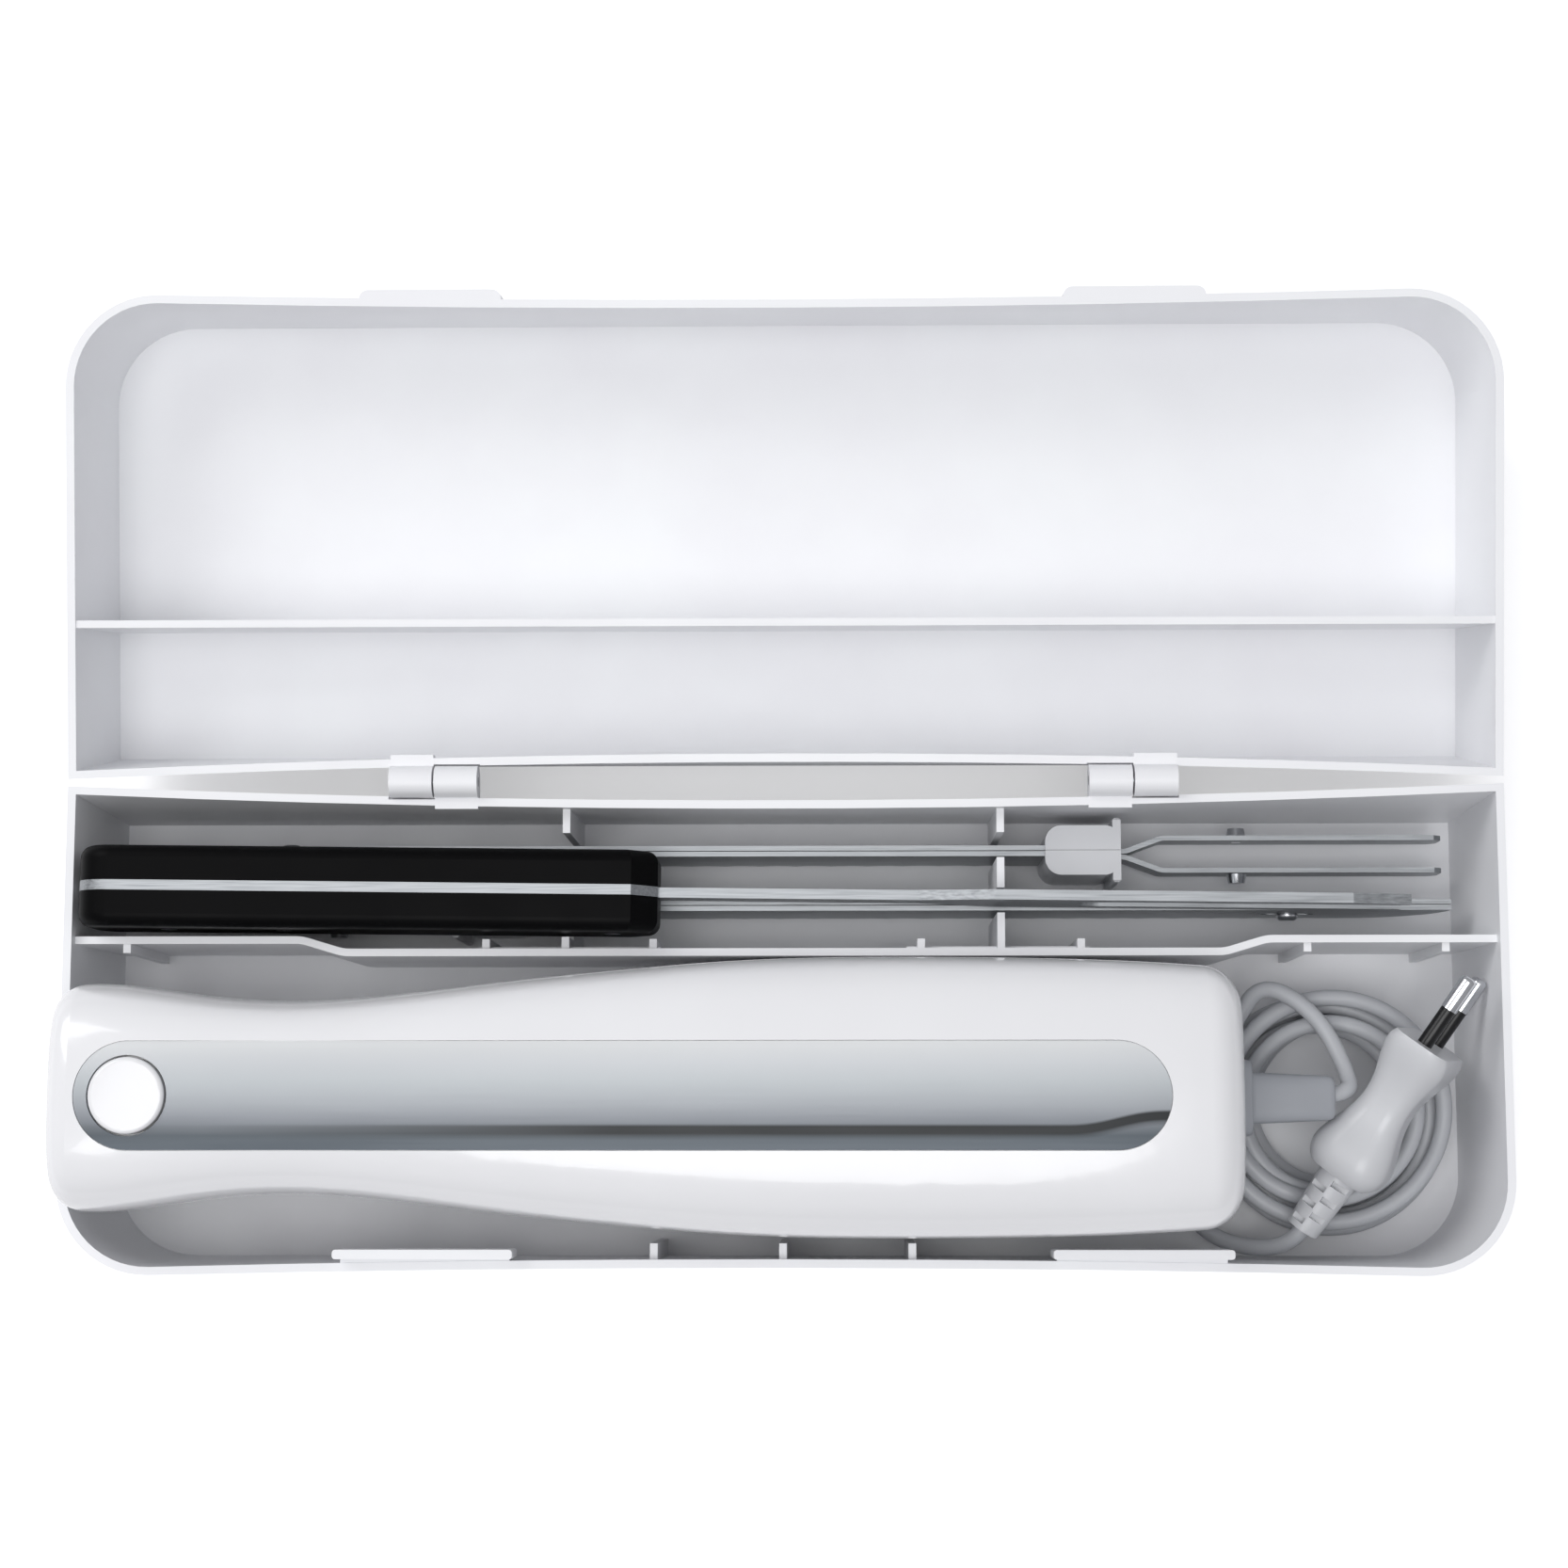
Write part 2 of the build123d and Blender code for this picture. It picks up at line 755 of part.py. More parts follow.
with BuildPart() as lower_cuts:
    with BuildSketch(across(nose_x - overrun, machine_y, drive_height)):
        add(nose_plate_outline(0))
    extrude(amount=overrun + housing_wall * 3)
    with BuildSketch(Plane.XY):
        opening_front = trigger_front_x - trigger_gap
        opening_rear = trigger_pivot_x + trigger_heel + trigger_gap
        with Locations(((opening_front + opening_rear) / 2, machine_y)):
            Rectangle(opening_rear - opening_front, trigger_width + 2 * trigger_gap)
    extrude(amount=trigger_top + trigger_rise + trigger_gap)
    with BuildSketch(across(tail_x - gland_stub_length, machine_y, gland_height)):
        Circle(gland_stub_diameter / 2)
    extrude(amount=gland_stub_length + overrun)
    for vent in range(vent_count):
        vent_x = vent_start_x + vent * vent_pitch
        with BuildSketch(Plane.XY):
            with Locations((vent_x, machine_y)):
                SlotOverall(vent_length, vent_width, rotation=90)
        extrude(amount=motor_bottom + housing_wall + overrun)
    for screw_x, screw_y, head_z in machine_screws:
        with BuildSketch(Plane.XY):
            with Locations((screw_x, screw_y)):
                Circle(screw_head_diameter / 2 + running_gap)
        extrude(amount=head_z)
        with BuildSketch(Plane.XY):
            with Locations((screw_x, screw_y)):
                Circle(screw_diameter / 2 + running_gap)
        extrude(amount=split_height + overrun)

with BuildPart() as lower_housing:
    add(machine_half(False, 0))
    add(lower_room.part, mode=Mode.SUBTRACT)
    add(lower_cuts.part, mode=Mode.SUBTRACT)
write(lower_housing.part, "lower_housing")


def stadium(gap):
    """Outline of the long inlay on the top."""
    with BuildSketch() as drawing:
        SlotOverall(inlay_length + 2 * gap, inlay_width + 2 * gap)
    return drawing.sketch_local


with BuildPart() as upper_frames:
    for rib_x in (stator_x - cradle_spacing / 2, stator_x + cradle_spacing / 2):
        with BuildSketch(across(rib_x - rail_wall / 2, machine_y, 0)):
            with Locations((0, worm_z + stator_size / 2 + machine_height / 2)):
                Rectangle(stator_size - boss_diameter, machine_height)
        extrude(amount=rail_wall)
    with BuildSketch(level(bracket_top)):
        with Locations((button_x, machine_y)):
            with GridLocations(2 * bracket_post_x, 2 * bracket_post_y, 2, 2):
                Circle(bracket_post_diameter / 2)
    extrude(amount=machine_height)
    for screw_x, screw_y, head_z in machine_screws:
        with BuildSketch(level(split_height - overrun)):
            with Locations((screw_x, screw_y)):
                Circle(boss_diameter / 2)
        extrude(amount=machine_height)

with BuildPart() as upper_room:
    add(machine_half(True, housing_wall))
    add(upper_frames.part, mode=Mode.SUBTRACT)

with BuildPart() as upper_cuts:
    with BuildSketch(level(top_z - inlay_depth)):
        with Locations((inlay_x, machine_y)):
            add(stadium(inlay_gap))
    extrude(amount=overrun)
    with BuildSketch(level(bracket_top)):
        with Locations((button_x, machine_y)):
            Circle(button_diameter / 2 + button_hole_gap)
    extrude(amount=machine_height)
    with BuildSketch(across(nose_x - overrun, machine_y, drive_height)):
        add(nose_plate_outline(0))
    extrude(amount=overrun + housing_wall * 3)
    for screw_x, screw_y, head_z in machine_screws:
        with BuildSketch(level(split_height - overrun)):
            with Locations((screw_x, screw_y)):
                Circle(screw_diameter / 2)
        extrude(amount=screw_bite + overrun)

with BuildPart() as upper_housing:
    add(machine_half(True, 0))
    add(upper_room.part, mode=Mode.SUBTRACT)
    add(upper_cuts.part, mode=Mode.SUBTRACT)
write(upper_housing.part, "upper_housing")

with BuildPart() as top_inlay:
    with BuildSketch(level(top_z - inlay_depth)):
        with Locations((inlay_x, machine_y)):
            add(stadium(0))
            with Locations((button_x - inlay_x, 0)):
                Circle(button_diameter / 2 + button_hole_gap, mode=Mode.SUBTRACT)
    extrude(amount=overrun)
    add(machine_half(True, 0), mode=Mode.INTERSECT)
write(top_inlay.part, "top_inlay")

with BuildPart() as nose_plate:
    with BuildSketch(across(nose_x, machine_y, drive_height)):
        add(nose_plate_outline(0))
        with Locations((-tang_spread / 2, 0), (tang_spread / 2, 0)):
            RectangleRounded(tang_slot_width, tang_slot_height, tang_slot_width / 3, mode=Mode.SUBTRACT)
    extrude(amount=housing_wall)
write(nose_plate.part, "nose_plate")

with BuildPart() as housing_screws:
    for screw_x, screw_y, head_z in machine_screws:
        with BuildSketch(level(head_z - screw_head_height)):
            with Locations((screw_x, screw_y)):
                Circle(screw_head_diameter / 2)
        extrude(amount=screw_head_height)
        with BuildSketch(level(head_z)):
            with Locations((screw_x, screw_y)):
                Circle(screw_diameter / 2)
        extrude(amount=split_height + screw_bite - head_z)
        with BuildSketch(level(head_z - screw_head_height)):
            with Locations((screw_x, screw_y)):
                Rectangle(screw_head_diameter * 2 / 3, screw_slot)
                Rectangle(screw_slot, screw_head_diameter * 2 / 3)
        extrude(amount=screw_slot, mode=Mode.SUBTRACT)
write(housing_screws.part, "housing_screws")

# Worm drive: a worm cut on the motor shaft, below a wheel whose two cranks move the blade slides
with BuildPart() as motor_shaft:
    worm_start = wheel_x - worm_length / 2
    shaft_start = worm_start - shaft_tail / 2
    shaft_end = rear_bearing_x + bearing_length / 2 + shaft_tail
    with BuildSketch(across(shaft_start, machine_y, worm_z)):
        Circle(shaft_diameter / 2)
    extrude(amount=shaft_end - shaft_start)
    fillet(motor_shaft.edges().filter_by(GeomType.CIRCLE), shaft_diameter / 8)
    with BuildSketch(across(worm_start, machine_y, worm_z)):
        Circle(worm_diameter / 2 - tooth_depth)
    extrude(amount=worm_length)
    with BuildSketch(Plane.XZ.offset(-machine_y)):
        thread_pitch = math.pi * wheel_diameter / wheel_teeth
        for thread in range(1, int(worm_length / thread_pitch)):
            with BuildLine():
                crest = worm_start + thread * thread_pitch
                core = worm_z + worm_diameter / 2 - tooth_depth - running_gap
                Polyline(
                    (crest - thread_pitch / 3, core),
                    (crest, worm_z + worm_diameter / 2),
                    (crest + thread_pitch / 3, core),
                    close=True,
                )
            make_face()
    revolve(axis=Axis((0, machine_y, worm_z), (1, 0, 0)))
write(motor_shaft.part, "motor_shaft")

armature_radius = armature_diameter / 2
with BuildPart() as armature_core:
    with BuildSketch(across(stator_x - stator_length / 2, machine_y, worm_z)):
        Circle(armature_radius)
        with PolarLocations(armature_radius - slot_depth / 2, armature_slots):
            Rectangle(slot_depth + running_gap, slot_opening, mode=Mode.SUBTRACT)
        Circle(shaft_diameter / 2, mode=Mode.SUBTRACT)
    extrude(amount=stator_length)
write(armature_core.part, "armature_core")

with BuildPart() as commutator:
    with BuildSketch(across(commutator_x - commutator_length / 2, machine_y, worm_z)):
        Circle(commutator_diameter / 2)
        Circle(shaft_diameter / 2, mode=Mode.SUBTRACT)
    extrude(amount=commutator_length)
write(commutator.part, "commutator")

with BuildPart() as cooling_fan:
    fan_start = fan_x - fan_depth / 2
    with BuildSketch(across(fan_start, machine_y, worm_z)):
        Circle(fan_diameter / 2)
    extrude(amount=fan_plate)
    with BuildSketch(across(fan_start, machine_y, worm_z)):
        Circle(fan_hub / 2)
        with PolarLocations((fan_hub + fan_diameter) / 4, fan_blades):
            Rectangle((fan_diameter - fan_hub) / 2 + fan_blade_wall, fan_blade_wall)
    extrude(amount=fan_depth)
    with BuildSketch(across(fan_start, machine_y, worm_z)):
        Circle(fan_diameter / 2 + overrun)
        Circle(fan_diameter / 2, mode=Mode.SUBTRACT)
    extrude(amount=fan_depth, mode=Mode.SUBTRACT)
    with BuildSketch(across(fan_start, machine_y, worm_z)):
        Circle(shaft_diameter / 2)
    extrude(amount=fan_depth, mode=Mode.SUBTRACT)
write(cooling_fan.part, "cooling_fan")

with BuildPart() as shaft_bearings:
    front_bearing_x = frame_x + frame_length / 2 - bearing_length / 2
    for bearing_x in (front_bearing_x, rear_bearing_x):
        with BuildSketch(across(bearing_x - bearing_length / 2, machine_y, worm_z)):
            Circle(bearing_diameter / 2)
            Circle(shaft_diameter / 2 + running_gap, mode=Mode.SUBTRACT)
        extrude(amount=bearing_length)
write(shaft_bearings.part, "shaft_bearings")

window_inner = armature_radius + armature_air_gap + running_gap * 4
with BuildPart() as stator_core:
    with BuildSketch(across(stator_x - stator_length / 2, machine_y, worm_z)):
        RectangleRounded(stator_size, stator_size, stator_corner)
        Circle(armature_radius + armature_air_gap, mode=Mode.SUBTRACT)
        with Locations((-window_inner - coil_window_width / 2, 0), (window_inner + coil_window_width / 2, 0)):
            Rectangle(coil_window_width, coil_window_height, mode=Mode.SUBTRACT)
    extrude(amount=stator_length)
write(stator_core.part, "stator_core")

with BuildPart() as field_coils:
    for side in (-1, 1):
        coil_start = stator_x - stator_length / 2 - coil_overhang
        coil_centre_y = machine_y + side * (window_inner + coil_window_width / 2)
        with BuildSketch(across(coil_start, coil_centre_y, worm_z)):
            RectangleRounded(coil_window_width - running_gap * 4, coil_window_height, coil_window_width / 4)
        extrude(amount=stator_length + 2 * coil_overhang)
write(field_coils.part, "field_coils")

holder_start = frame_x + frame_length / 2
brush_reach = commutator_diameter / 2 + running_gap * 2
with BuildPart() as brush_holders:
    for side in (-1, 1):
        holder_y = machine_y + side * (brush_reach + holder_wall + brush_length / 2)
        with BuildSketch(Plane(origin=(holder_start, holder_y, worm_z), x_dir=(0, 1, 0), z_dir=(1, 0, 0))):
            Rectangle(brush_length, brush_size + 2 * holder_wall)
        extrude(amount=commutator_x + brush_size / 2 + holder_wall - holder_start)
        with BuildSketch(Plane.XZ.offset(-machine_y)):
            with Locations((commutator_x, worm_z)):
                Rectangle(brush_size, brush_size)
        extrude(amount=side * -machine_width / 2, mode=Mode.SUBTRACT)
write(brush_holders.part, "brush_holders")

with BuildPart() as carbon_brushes:
    for side in (-1, 1):
        with BuildSketch(Plane.XZ.offset(-machine_y - side * brush_reach)):
            with Locations((commutator_x, worm_z)):
                Rectangle(brush_size, brush_size)
        extrude(amount=-side * brush_length)
write(carbon_brushes.part, "carbon_brushes")

with BuildPart() as gearbox_frame:
    frame_low = worm_z - frame_drop
    frame_high = drive_height + frame_rise
    with BuildSketch(across(frame_x - frame_length / 2, machine_y, (frame_low + frame_high) / 2)):
        Rectangle(frame_inner + 2 * frame_wall, frame_high - frame_low)
        with Locations((0, frame_wall)):
            Rectangle(frame_inner, frame_high - frame_low, mode=Mode.SUBTRACT)
    extrude(amount=frame_length)
    with BuildSketch(across(front_bearing_x - bearing_length / 2, machine_y, frame_low)):
        with Locations((0, frame_web / 2)):
            Rectangle(frame_inner, frame_web)
    extrude(amount=bearing_length)
    with BuildSketch(across(front_bearing_x - bearing_length / 2, machine_y, worm_z)):
        Circle(bearing_diameter / 2)
    extrude(amount=bearing_length, mode=Mode.SUBTRACT)
    with BuildSketch(Plane.XZ.offset(-machine_y)):
        with Locations((wheel_x, drive_height)):
            Circle(axle_diameter / 2)
    extrude(amount=frame_inner, both=True, mode=Mode.SUBTRACT)
write(gearbox_frame.part, "gearbox_frame")

with BuildPart() as wheel_axle:
    with BuildSketch(Plane.XZ.offset(-machine_y)):
        with Locations((wheel_x, drive_height)):
            Circle(axle_diameter / 2)
    extrude(amount=frame_inner / 2 + frame_wall, both=True)
write(wheel_axle.part, "wheel_axle")

with BuildPart() as worm_wheel:
    with BuildSketch(Plane.XZ.offset(-machine_y)):
        with Locations((wheel_x, drive_height)):
            Circle(wheel_diameter / 2)
            with PolarLocations(wheel_diameter / 2, wheel_teeth):
                RegularPolygon(tooth_depth, 3, rotation=180, mode=Mode.SUBTRACT)
            Circle(axle_diameter / 2 + running_gap, mode=Mode.SUBTRACT)
    extrude(amount=wheel_width / 2, both=True)
write(worm_wheel.part, "worm_wheel")

slide_y = slide_spacing / 2
crank_reach = slide_y + slide_wall / 2 + running_gap * 4
with BuildPart() as crank_pins:
    for side in (-1, 1):
        with BuildSketch(Plane.XZ.offset(-machine_y - side * wheel_width / 2)):
            with Locations((wheel_x, drive_height + side * crank_throw)):
                Circle(crank_diameter / 2)
        extrude(amount=-side * (crank_reach - wheel_width / 2))
write(crank_pins.part, "crank_pins")

window_height = 2 * crank_throw + crank_diameter + 2 * seat_gap
window_length = window_height + 2 * crank_throw + 2 * seat_gap
for side, hand in ((-1, "near"), (1, "far")):
    with BuildPart() as drive_slide:
        with BuildSketch(Plane.XZ.offset(-machine_y - side * slide_y)):
            with Locations(((slide_front_x + wheel_x) / 2, drive_height)):
                Rectangle(wheel_x - slide_front_x, slide_height)
            with Locations((wheel_x, drive_height)):
                RectangleRounded(window_length + 2 * yoke_border, window_height + 2 * yoke_border, yoke_border)
                RectangleRounded(window_length, window_height, yoke_border / 2, mode=Mode.SUBTRACT)
            with Locations((slide_front_x + socket_length * 2, drive_height)):
                SlotOverall(socket_length, slide_height / 3, mode=Mode.SUBTRACT)
        extrude(amount=slide_wall / 2, both=True)
    write(drive_slide.part, hand + "_drive_slide")

    with BuildPart() as tang_clip:
        clip_y = side * (slide_y - slide_wall / 2 - socket_wall - blade_wall / 2 - running_gap)
        with BuildSketch(across(slide_front_x, machine_y + clip_y, drive_height)):
            Rectangle(blade_wall + 2 * socket_wall + 2 * running_gap, tang_height + 2 * socket_wall)
            Rectangle(blade_wall + 2 * running_gap, tang_height + 2 * running_gap, mode=Mode.SUBTRACT)
        extrude(amount=socket_length)
    write(tang_clip.part, hand + "_tang_clip")

with BuildPart() as slide_guide:
    guide_top = 2 * drive_height - rail_top
    with BuildSketch(across(guide_x - guide_length / 2, machine_y, drive_height)):
        Rectangle(guide_width, guide_top - rail_top)
        with Locations((-slide_y, 0), (slide_y, 0)):
            Rectangle(slide_wall + 4 * running_gap, slide_height + 4 * running_gap, mode=Mode.SUBTRACT)
    extrude(amount=guide_length)
    fillet(slide_guide.edges().filter_by(Axis.X).group_by(Axis.Z)[-1], slide_wall)
write(slide_guide.part, "slide_guide")

# Release button with its catch, spring and bracket
flange_top = bracket_top + spring_length + button_flange
catch_top = drive_height - tang_height / 2 - socket_wall - bracket_gap
with BuildPart() as release_button:
    with BuildSketch(level(flange_top - button_flange)):
        with Locations((button_x, machine_y)):
            Circle(button_diameter / 2 + button_hole_gap + button_flange)
    extrude(amount=button_flange)
    with BuildSketch(level(flange_top)):
        with Locations((button_x, machine_y)):
            Circle(button_diameter / 2)
    extrude(amount=top_z + button_rise - flange_top)
    fillet(release_button.edges().group_by(Axis.Z)[-1], button_rise)
    with BuildSketch(level(catch_top)):
        with Locations((button_x, machine_y)):
            Rectangle(button_stem_length, button_stem_width)
    extrude(amount=flange_top - catch_top)
    with BuildSketch(level(catch_top - bracket_wall)):
        with Locations((button_x, machine_y)):
            RectangleRounded(socket_length / 2, slide_spacing, bracket_wall / 2)
    extrude(amount=bracket_wall)
write(release_button.part, "release_button")

with BuildPart() as button_bracket:
    with BuildSketch(level(bracket_top - bracket_wall)):
        with Locations((button_x, machine_y)):
            RectangleRounded(bracket_length, bracket_width, bracket_post_diameter / 2)
            Rectangle(button_stem_length + seat_gap, button_stem_width + seat_gap, mode=Mode.SUBTRACT)
    extrude(amount=bracket_wall)
write(button_bracket.part, "button_bracket")


def sleeve_spring(x, low, length, diameter):
    """The space of a small round-wire spring standing on Z."""
    with BuildPart() as spring:
        with BuildSketch(level(low)):
            with Locations((x, machine_y)):
                Circle(diameter / 2)
                Circle(diameter / 2 - spring_wire, mode=Mode.SUBTRACT)
        extrude(amount=length)
    return spring.part


write(sleeve_spring(button_x, bracket_top, spring_length, button_spring_diameter), "release_spring")

# Trigger under the grip, its pin, spring and switch
with BuildPart() as trigger:
    with BuildSketch(Plane.XZ.offset(-machine_y)):
        with BuildLine():
            Polyline(
                (trigger_front_x, trigger_top),
                (trigger_front_x, trigger_low_front),
                (trigger_pivot_x - trigger_heel, trigger_low_rear),
                (trigger_pivot_x + trigger_heel, trigger_low_rear),
                (trigger_pivot_x + trigger_heel, trigger_top),
                close=True,
            )
        make_face()
        fillet(vertices(), trigger_heel * 2 / 3)
    extrude(amount=trigger_width / 2, both=True)
    with BuildSketch(Plane.XZ.offset(-machine_y)):
        with Locations((trigger_pivot_x, trigger_pivot_height)):
            Circle(trigger_pin_diameter / 2 + running_gap)
    extrude(amount=trigger_width, both=True, mode=Mode.SUBTRACT)
write(trigger.part, "trigger")

with BuildPart() as trigger_pin:
    with BuildSketch(Plane.XZ.offset(-machine_y)):
        with Locations((trigger_pivot_x, trigger_pivot_height)):
            Circle(trigger_pin_diameter / 2)
    extrude(amount=switch_width / 2, both=True)
write(trigger_pin.part, "trigger_pin")

write(
    sleeve_spring(trigger_spring_x, trigger_top, rail_top - trigger_top, trigger_spring_diameter),
    "trigger_spring",
)

with BuildPart() as power_switch:
    with BuildSketch(level(rail_top)):
        with Locations((switch_x, machine_y)):
            RectangleRounded(switch_length, switch_width, rail_wall / 2)
    extrude(amount=switch_height)
write(power_switch.part, "power_switch")

with BuildPart() as suppressor:
    suppressor_start = rear_bearing_x + bearing_length / 2
    with BuildSketch(across(suppressor_start, machine_y, split_height - suppressor_height / 2)):
        RectangleRounded(suppressor_width, suppressor_height, rail_wall)
    extrude(amount=suppressor_length)
write(suppressor.part, "suppressor")

# Cord gland behind the tail, with the clamp plate that holds it inside
flange_start = tail_x + flange_gap
relief_start = flange_start + flange_wall
relief_end = relief_start + relief_length
with BuildPart() as cord_gland:
    with BuildSketch(across(flange_start, machine_y, gland_height)):
        RectangleRounded(flange_width, flange_height, flange_wall / 2)
    extrude(amount=flange_wall)
    with BuildSketch(across(relief_start, machine_y, gland_height)):
        RectangleRounded(relief_width, relief_height, relief_height / 3)
    with BuildSketch(across(relief_end, machine_y, gland_height)):
        RectangleRounded(relief_width * relief_taper, relief_height * relief_taper, relief_height / 3)
    loft()
    for groove in range(relief_grooves):
        groove_x = relief_start + (groove + 1) * relief_length / (relief_grooves + 1)
        with BuildSketch(across(groove_x, machine_y, gland_height)):
            Rectangle(flange_width, flange_height)
            RectangleRounded(relief_width * groove_share, relief_height * groove_share, relief_height / 4, mode=Mode.SUBTRACT)
        extrude(amount=groove_wall, mode=Mode.SUBTRACT)
    with BuildSketch(across(tail_x - gland_stub_length, machine_y, gland_height)):
        Circle(gland_stub_diameter / 2)
    extrude(amount=gland_stub_length + flange_gap)
    with BuildSketch(across(relief_end - cord_bore_length, machine_y, gland_height)):
        Circle(cord_diameter / 2)
    extrude(amount=cord_bore_length, mode=Mode.SUBTRACT)
write(cord_gland.part, "cord_gland")

with BuildPart() as cord_clamp:
    with BuildSketch(level(gland_height + gland_stub_diameter / 2)):
        with Locations((tail_x - clamp_from_tail, machine_y)):
            RectangleRounded(clamp_length, clamp_width, clamp_length / 4)
    extrude(amount=clamp_wall)
write(cord_clamp.part, "cord_clamp")


# Cord: one coil in four layers, with a lead from the gland and a tail to the plug
def coil_point(angle, radius, height):
    """A point of the coil's centre line."""
    turn = math.radians(angle)
    return Vector(coil_x + radius * math.cos(turn), coil_y + radius * math.sin(turn), height)


def coil_heading(angle):
    """The way the cord runs at an angle of the coil."""
    turn = math.radians(angle)
    return Vector(-math.sin(turn), math.cos(turn), 0)


coil_low = case_wall + seat_gap + cord_diameter / 2
coil_route = []
turn_angle = coil_start_angle
turn_radius = coil_radius
turn_height = coil_low + (coil_layers - 1) * coil_layer_pitch
for layer in range(coil_layers):
    inward = -1 if layer % 2 == 0 else 1
    for half_turn in range(coil_half_turns if layer else coil_first_half_turns):
        coil_route.append((turn_angle, turn_radius, turn_height))
        turn_angle += 180
        turn_radius += inward * coil_pitch / 2
    coil_route.append((turn_angle, turn_radius, turn_height))
    turn_angle += 180
    turn_height -= coil_layer_pitch
coil_route.pop()
turn_angle -= 180
turn_height += coil_layer_pitch
coil_route.append((turn_angle, turn_radius, turn_height))

coil_points = []
with BuildPart() as cord_coil:
    with BuildLine() as coil_line:
        for here, there in zip(coil_route, coil_route[1:]):
            start, end = coil_point(*here), coil_point(*there)
            leave, arrive = coil_heading(here[0]), coil_heading(there[0])
            span = end - start
            spread = 1 - leave.dot(arrive)
            lean = span.dot(leave + arrive)
            reach = (math.sqrt(lean * lean + 2 * spread * span.dot(span)) - lean) / (2 * spread)
            joint = (start + end + (leave - arrive) * reach) / 2
            first = TangentArc(start, joint, tangent=leave)
            second = TangentArc(joint, end, tangent=first % 1)
            for quarter in (first, second):
                coil_points += [quarter @ (step / coil_samples) for step in range(coil_samples)]
    with BuildSketch(Plane(origin=coil_line.line @ 0, z_dir=coil_line.line % 0)):
        Circle(cord_diameter / 2)
    sweep(path=coil_line.line)
write(cord_coil.part, "cord_coil")

turn_samples = 4 * coil_samples
least_gap = coil_radius
for index, here in enumerate(coil_points):
    for other in coil_points[index + turn_samples // 2:]:
        if abs(other.Z - here.Z) < cord_diameter + coil_pitch:
            least_gap = min(least_gap, (other - here).length - cord_diameter)
coil_length = sum(edge.length for edge in coil_line.edges())
print("coil: length", round(coil_length, 1), "least gap", round(least_gap, 2))


def corner_radii(points):
    """A bend radius for each corner of a route, from the shorter run beside it."""
    radii = []
    for before, corner, after in zip(points, points[1:], points[2:]):
        came = Vector(*corner) - Vector(*before)
        goes = Vector(*after) - Vector(*corner)
        half_turn = math.radians(came.get_angle(goes)) / 2
        radii.append(bend_share * min(came.length, goes.length) / math.tan(half_turn))
    return radii


def cord_stretch(name, points):
    """A stretch of cord along straight runs and the bends between them."""
    radii = corner_radii(points)
    with BuildPart() as stretch:
        with BuildLine() as route:
            FilletPolyline(*points, radius=radii)
        with BuildSketch(Plane(origin=route.line @ 0, z_dir=route.line % 0)):
            Circle(cord_diameter / 2)
        sweep(path=route.line)
    length = sum(edge.length for edge in route.edges())
    expected = math.pi * cord_diameter ** 2 / 4 * length
    print(name, "length", round(length, 1), "radii", [round(r, 1) for r in radii],
          "volume share", round(stretch.part.volume / expected, 4))
    return stretch.part


coil_start = coil_point(*coil_route[0])
coil_end = coil_point(*coil_route[-1])
coil_way = coil_heading(coil_start_angle)
lead_in = coil_start - coil_way * lead_straight
lead_points = [(relief_end - cord_bore_length, machine_y, gland_height), (relief_end + lead_turn, machine_y, gland_height)]
lead_points += [(relief_end + lead_turn + x, machine_y + y, gland_height - z) for x, y, z in lead_bends]
lead_points += [tuple(lead_in), tuple(coil_start)]
write(cord_stretch("lead", lead_points), "cord_lead")

# Plug lying on edge over the coil
heading, rise, roll = (math.radians(a) for a in (plug_heading, plug_rise, plug_roll))
plug_axis = Vector(math.cos(rise) * math.cos(heading), math.cos(rise) * math.sin(heading), math.sin(rise))
plug_side = Vector(math.sin(heading), -math.cos(heading), 0)
plug_up = plug_side.cross(plug_axis)
plug_plane = Plane(
    origin=plug_entry,
    x_dir=plug_up * math.sin(roll) - plug_side * math.cos(roll),
    z_dir=plug_axis,
)
plug_face = plug_plane.offset(plug_relief_length + plug_body_length)

tail_out = coil_end + coil_way * tail_straight
tail_in = Vector(*plug_entry) - plug_axis * lead_straight
tail_points = [tuple(coil_end), tuple(tail_out)]
tail_points += [(coil_x + x, coil_y + y, coil_low + z) for x, y, z in tail_bends]
tail_points += [tuple(tail_in), plug_entry]
write(cord_stretch("tail", tail_points), "cord_tail")

with BuildPart() as plug_relief:
    with BuildSketch(plug_plane):
        Circle(plug_relief_diameter * relief_taper / 2)
    with BuildSketch(plug_plane.offset(plug_relief_length)):
        Circle(plug_relief_diameter / 2)
    loft()
    for row in range(plug_slot_rows):
        slot_start = (row + 1) * plug_relief_length / (plug_slot_rows + 1) - plug_slot_wall / 2
        with BuildSketch(plug_plane.offset(slot_start)):
            lean = plug_relief_diameter / 4 * (1 if row % 2 else -1)
            with Locations((plug_relief_diameter / 2, lean), (-plug_relief_diameter / 2, -lean)):
                Rectangle(plug_relief_diameter / 2, plug_relief_diameter * plug_slot_share)
        extrude(amount=plug_slot_wall, mode=Mode.SUBTRACT)
write(plug_relief.part, "plug_relief")

